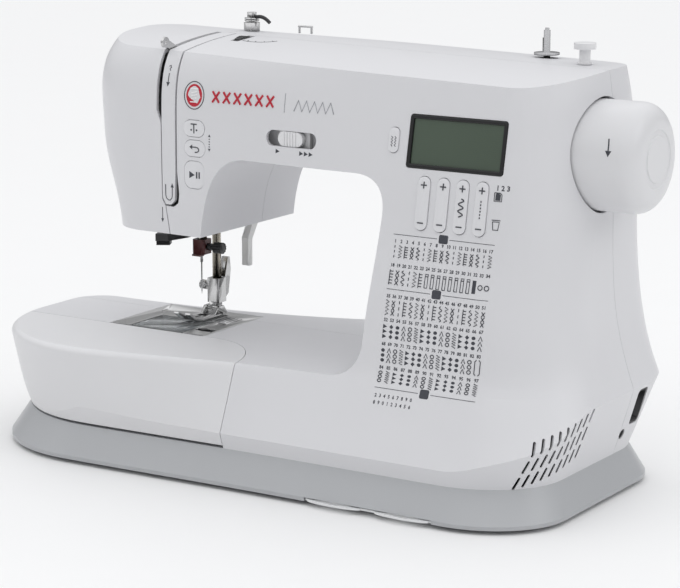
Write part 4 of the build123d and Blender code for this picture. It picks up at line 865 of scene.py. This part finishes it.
@dataclass
class KeyPrints(HeadPrints):
    """Signs on the rocker keys and the small icons beside them."""

    def build(self) -> None:
        """Prints the keys and the column beside them."""
        nodes = self.frame["nodes"]
        for n in range(1, 5):
            node = f"rocker_key_{n}"
            signs = Marks(f"key_signs_{n}", nodes[node], self.centre(node))
            signs.line((-2.1, 11.8), (2.1, 11.8))
            signs.line((0, 13.9), (0, 9.7))
            signs.line((-2.1, -11.8), (2.1, -11.8))
            if n == 3:
                signs.line(*[(1.9 * math.sin(k * 0.9), 5.6 - 0.62 * k) for k in range(19)])
            elif n == 4:
                for k in range(6):
                    signs.line((0, 5.6 - 2.0 * k), (0, 4.6 - 2.0 * k))
            self.print_on(signs, 0.46, node, "key_plastic")
        mirror = Marks("mirror_sign", nodes["mirror_button"], self.centre("mirror_button"))
        for u in (-1.6, 0.9):
            mirror.line(*[(u + (0.9 if k % 2 else -0.2), 3.2 - 0.9 * k) for k in range(8)])
        self.print_on(mirror, 0.26, "mirror_button", "key_plastic")
        side = Marks("side_signs", nodes["front_casing"], drawing(0, 0, 0))
        for k, digit in enumerate("123"):
            side.word(digit, 168.5 + 3.6 * k, 207.4, 4.4)
        side.line((166.6, 204.6), (170.6, 204.6), (171.8, 203.4),
                  (171.8, 199.4), (166.6, 199.4), (166.6, 204.6))
        side.fill((167.8, 204.4), (170.2, 204.4), (170.2, 202.6), (167.8, 202.6))
        side.line((167.0, 186.8), (167.6, 181.8), (171.0, 181.8), (171.6, 186.8), (167.0, 186.8))
        side.line((166.4, 187.8), (172.2, 187.8))
        side.fill((167.4, 203.8), (171.0, 203.8), (171.0, 199.9), (167.4, 199.9))
        self.print_on(side, 0.32, "front_casing", "shell_plastic")


@dataclass
class StitchChart(HeadPrints):
    """The printed table of stitches on the column's front."""

    left: float = 99.0
    right: float = 168.0

    def spread(self, count: int, left: float = 0.0, right: float = 0.0) -> list[float]:
        """Evenly spaced places across the table."""
        a, b = left or self.left, right or self.right
        return [a + (b - a) * k / (count - 1) for k in range(count)]

    def build(self) -> None:
        """Prints every row of the table."""
        host = self.frame["nodes"]["front_casing"]
        fine = Marks("stitch_chart_lines", host, drawing(0, 0, 0))
        bold = Marks("stitch_chart_patterns", host, drawing(0, 0, 0))
        text = Marks("stitch_chart_numbers", host, drawing(0, 0, 0))
        self.frames(fine, bold)
        self.numbers(text)
        self.line_rows(bold)
        self.filled_rows(bold)
        self.print_on(fine, 0.2, "front_casing", "shell_plastic")
        self.print_on(bold, 0.33, "front_casing", "shell_plastic")
        self.print_on(text, 0.2, "front_casing", "shell_plastic")

    def frames(self, fine: Marks, bold: Marks) -> None:
        """Draws the dividing lines and their badges."""
        for z in (172.6, 138.6, 77.2):
            fine.line(*[(self.left - 2 + 4 * k, z) for k in range(9)])
            fine.line(*[(self.right - 30 + 2 * k, z) for k in range(17)])
            bold.fill((130.2, z - 2), (130.9, z - 2.7), (136.1, z - 2.7), (136.8, z - 2), (136.8, z + 2),
                      (136.1, z + 2.7), (130.9, z + 2.7), (130.2, z + 2))

    def numbers(self, text: Marks) -> None:
        """Numbers each column of each row."""
        start = 1
        for z, count in ((168.4, 17), (153.4, 17), (134.2, 17), (119.3, 16), (104.2, 16), (89.4, 14)):
            for k, x in enumerate(self.spread(count)):
                text.word(str(start + k), x, z, 2.9)
            start += count
        for z in (72.6, 68.4):
            for k, x in enumerate(self.spread(9, 99, 125)):
                text.word(str((k + int(z)) % 10), x, z, 2.9)

    def line_rows(self, bold: Marks) -> None:
        """Draws the rows of line stitches."""
        for k, x in enumerate(self.spread(17)):
            self.stitch(bold, k % 5, x, 158.2, 165.8, 1.1)
        for k, x in enumerate(self.spread(17)):
            if k < 6:
                self.stitch(bold, (k + 2) % 5, x, 141.4, 150.6, 1.2)
            elif k < 14:
                bold.line((x - 1, 141.8), (x - 1, 150.2), (x + 1, 150.2), (x + 1, 141.8), (x - 1, 141.8))
                bold.line((x - 1, 148.8), (x + 1, 148.8))
            elif k == 14:
                bold.fill((x - 1.3, 142), (x + 1.3, 142), (x + 1.3, 150), (x - 1.3, 150))
            else:
                bold.arc(x, 146, (1.5, 1.5), 0, 360, 12)
        for k, x in enumerate(self.spread(17)):
            self.stitch(bold, (k * 2 + 1) % 5, x, 122.4, 131.8, 1.1)

    def stitch(self, bold: Marks, kind: int, x: float, low: float, high: float, w: float) -> None:
        """Draws one line stitch of a given kind."""
        if kind == 0:
            step = (high - low) / 5
            for k in range(3):
                bold.line((x, low + 2 * k * step), (x, low + (2 * k + 1) * step))
        elif kind == 1:
            bold.line(*[(x + (w if k % 2 else -w), low + (high - low) * k / 8) for k in range(9)])
        elif kind == 2:
            bold.line((x - w, low), (x - w, high))
            for k in range(5):
                rung = low + (high - low) * (k + 0.5) / 5
                bold.line((x - w, rung), (x + w, rung))
        elif kind == 3:
            for k in range(3):
                a, b = low + (high - low) * k / 3, low + (high - low) * (k + 0.9) / 3
                bold.line((x - w, a), (x + w, b))
                bold.line((x + w, a), (x - w, b))
        else:
            bold.line(*[(x + w * math.sin(k * 1.05), low + (high - low) * k / 18) for k in range(19)])

    def filled_rows(self, bold: Marks) -> None:
        """Draws the rows of satin and ornament stitches."""
        for row, (low, high, count) in enumerate(((107.4, 116.8, 16), (92.4, 101.8, 15), (80.2, 87.4, 14))):
            for k, x in enumerate(self.spread(count, 0.0, self.right - (6 if row == 1 else 0))):
                self.ornament(bold, (k + 2 * row) % 6, x, low, high)
        for side in (-1, 1):
            x = self.right - 0.5 + side * 1.8
            bold.line((x - side, 102), (x, 101), (x, 93.4), (x - side, 92.4))

    def ornament(self, bold: Marks, kind: int, x: float, low: float, high: float) -> None:
        """Draws one filled ornament as a column of three shapes."""
        step = (high - low) / 3
        for k in range(3):
            z = low + step * (k + 0.5)
            h = step * 0.45
            if kind == 0:
                bold.fill((x - 1.5, z + h), (x + 1.5, z), (x - 1.5, z - h))
            elif kind == 1:
                bold.fill((x, z + h), (x + 1.5, z), (x, z - h), (x - 1.5, z))
            elif kind == 2:
                bold.disc(x, z, (1.4, h * 0.8), 10)
            elif kind == 3:
                bold.line((x - 1.3, z - h), (x, z + h), (x + 1.3, z - h))
            elif kind == 4:
                bold.arc(x, z, (1.3, h * 0.8), 0, 360, 10)
            else:
                bold.line((x - 1.3, z + h), (x + 1.3, z + h * 0.3), (x - 1.3, z - h * 0.3), (x + 1.3, z - h))


@dataclass
class TopDetails(HeadPrints):
    """Marks on the top, the plate and the handwheel, and the pretension lever."""

    def build(self) -> None:
        """Prints the top and adds the lever."""
        nodes = self.frame["nodes"]
        arc = Marks("tension_marks", nodes["front_casing"], drawing(-56.0, 19.0, 0), True)
        arc.arc(0, 0, (16.5, 15), 200, 340, 16)
        for k in range(6):
            a = math.radians(210 + 24 * k)
            arc.line((14.0 * math.cos(a), 12.4 * math.sin(a)), (16.5 * math.cos(a), 15 * math.sin(a)))
        self.print_on(arc, 0.24, "front_casing", "shell_plastic")
        arrow = Marks("turning_arrow", nodes["handwheel"], drawing(226.5, 0, 233.0))
        arrow.line((0, 5.5), (0.6, 2), (0.8, -1.5))
        arrow.fill((0.9, -5.4), (-1.3, -1.6), (3.1, -1.6))
        piece = arrow.press(0.5)
        Palette.paint(piece, Finish.INK)
        self.keep(piece, Finish.INK, self.body_of["handwheel"], "wheel_plastic")
        guide = Marks("seam_guides", nodes["needle_plate"], drawing(-106.0, 15.0, 0), True)
        for u in (13.2, 16.4, 19.6, 22.8, 26.0):
            guide.line((u, -4.0), (u, 11))
        self.print_on(guide, 0.2, "needle_plate", "plate_steel")
        self.lever()

    def lever(self) -> None:
        """Adds the small black lever of the pretension disc."""
        top = drawing(-84.0, 47.0, 292.5)
        Bench.clear()
        bpy.ops.mesh.primitive_circle_add(vertices=8, radius=MM, fill_type="NOTHING")
        piece = bpy.context.object
        Bench.edit(piece)
        mesh = bmesh.from_edit_mesh(piece.data)
        mesh.verts.ensure_lookup_table()
        for k, vertex in enumerate(mesh.verts):
            t = k / 7
            rise = 1.6 * math.sin(2.2 * t) - 4.5 * t * t
            vertex.co = top + Vector(((3 + 13 * t) * MM, -1.5 * t * MM, rise * MM))
        ring = list(mesh.verts)
        bmesh.update_edit_mesh(piece.data)
        Bench.open_ring(piece, ring[0], ring[-1])
        bpy.ops.object.mode_set(mode="OBJECT")
        Bench.focus(piece)
        bpy.ops.object.convert(target="CURVE")
        piece = bpy.context.object
        piece.data.bevel_depth, piece.data.bevel_resolution, piece.data.use_fill_caps = 1.3 * MM, 3, True
        bpy.ops.object.convert(target="MESH")
        piece = bpy.context.object
        piece.name = "pretension_lever"
        Bench.settle(piece)
        Bench.smooth(piece, 50.0)
        Palette.paint(piece, Finish.DARK)
        self.keep(piece, Finish.DARK, "machine")


# ---------------------------------------------------------------- studio
@dataclass
class Studio:
    """Floor, light and camera."""

    floor_half: float = 9.0
    lens: float = 130.18
    sensor: float = 36.0
    eye: tuple[float, float, float] = (0.88672, -1.36347, 0.45757)
    look: tuple[float, float, float] = (-0.5257, 0.8253, -0.2062)

    def build(self) -> None:
        """Sets up the studio."""
        self.floor()
        self.sky()
        self.lamps()
        self.camera()

    def floor(self) -> None:
        """Adds the pale floor."""
        Bench.clear()
        bpy.ops.mesh.primitive_plane_add(size=2 * self.floor_half, location=(0, 0, 0))
        floor = bpy.context.object
        floor.name = "studio_floor"
        Palette.paint(floor, Finish.FLOOR)

    def sky(self) -> None:
        """Adds soft white light from all round, weaker behind the camera."""
        world = bpy.data.worlds.new("studio_sky")
        bpy.context.scene.world = world
        world.use_nodes = True
        tree = world.node_tree
        back = tree.nodes["Background"]
        coord = tree.nodes.new("ShaderNodeTexCoord")
        split = tree.nodes.new("ShaderNodeSeparateXYZ")
        tree.links.new(coord.outputs["Generated"], split.inputs[0])
        up = tree.nodes.new("ShaderNodeMapRange")
        up.inputs["From Min"].default_value = -0.05
        up.inputs["From Max"].default_value = 0.75
        up.inputs["To Min"].default_value = 0.05
        up.inputs["To Max"].default_value = 1.28
        tree.links.new(split.outputs["Z"], up.inputs["Value"])
        tree.links.new(up.outputs["Result"], back.inputs["Strength"])
        back.inputs["Color"].default_value = (0.985, 0.99, 1.0, 1)

    def lamps(self) -> None:
        """Adds the softboxes."""
        boxes = (
            ("softbox_left", (-1.6, -1.1, 1.5), (0, 0, 0.14), 1.4, 1.6),
            ("softbox_right", (2.1, 0.3, 1.3), (0.1, 0, 0.14), 1.2, 4.5),
        )
        for name, place, target, size, power in boxes:
            lamp = bpy.data.lights.new(name, "AREA")
            lamp.size = size
            lamp.energy = power
            holder = bpy.data.objects.new(name, lamp)
            bpy.context.scene.collection.objects.link(holder)
            holder.location = place
            aim = Vector(target) - Vector(place)
            holder.rotation_euler = aim.to_track_quat("-Z", "Y").to_euler()

    def camera(self) -> None:
        """Adds the camera."""
        data = bpy.data.cameras.new("studio_camera")
        data.lens = self.lens
        data.sensor_width = self.sensor
        holder = bpy.data.objects.new("studio_camera", data)
        bpy.context.scene.collection.objects.link(holder)
        holder.location = self.eye
        holder.rotation_euler = Vector(self.look).to_track_quat("-Z", "Y").to_euler()
        bpy.context.scene.camera = holder
        bpy.context.scene.view_settings.view_transform = "Standard"


def main() -> None:
    """Builds the looks of the machine round its frame."""
    logging.basicConfig(level=logging.INFO, format="%(name)s: %(message)s")
    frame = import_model()
    for assembly in (Casings, Works, Handwheel, SewingHead, Controls,
                     ArmPrints, HeadPrints, KeyPrints, StitchChart, TopDetails):
        assembly(frame).build()
    Studio().build()
    Bench.clear()


if __name__ == "__main__":
    main()
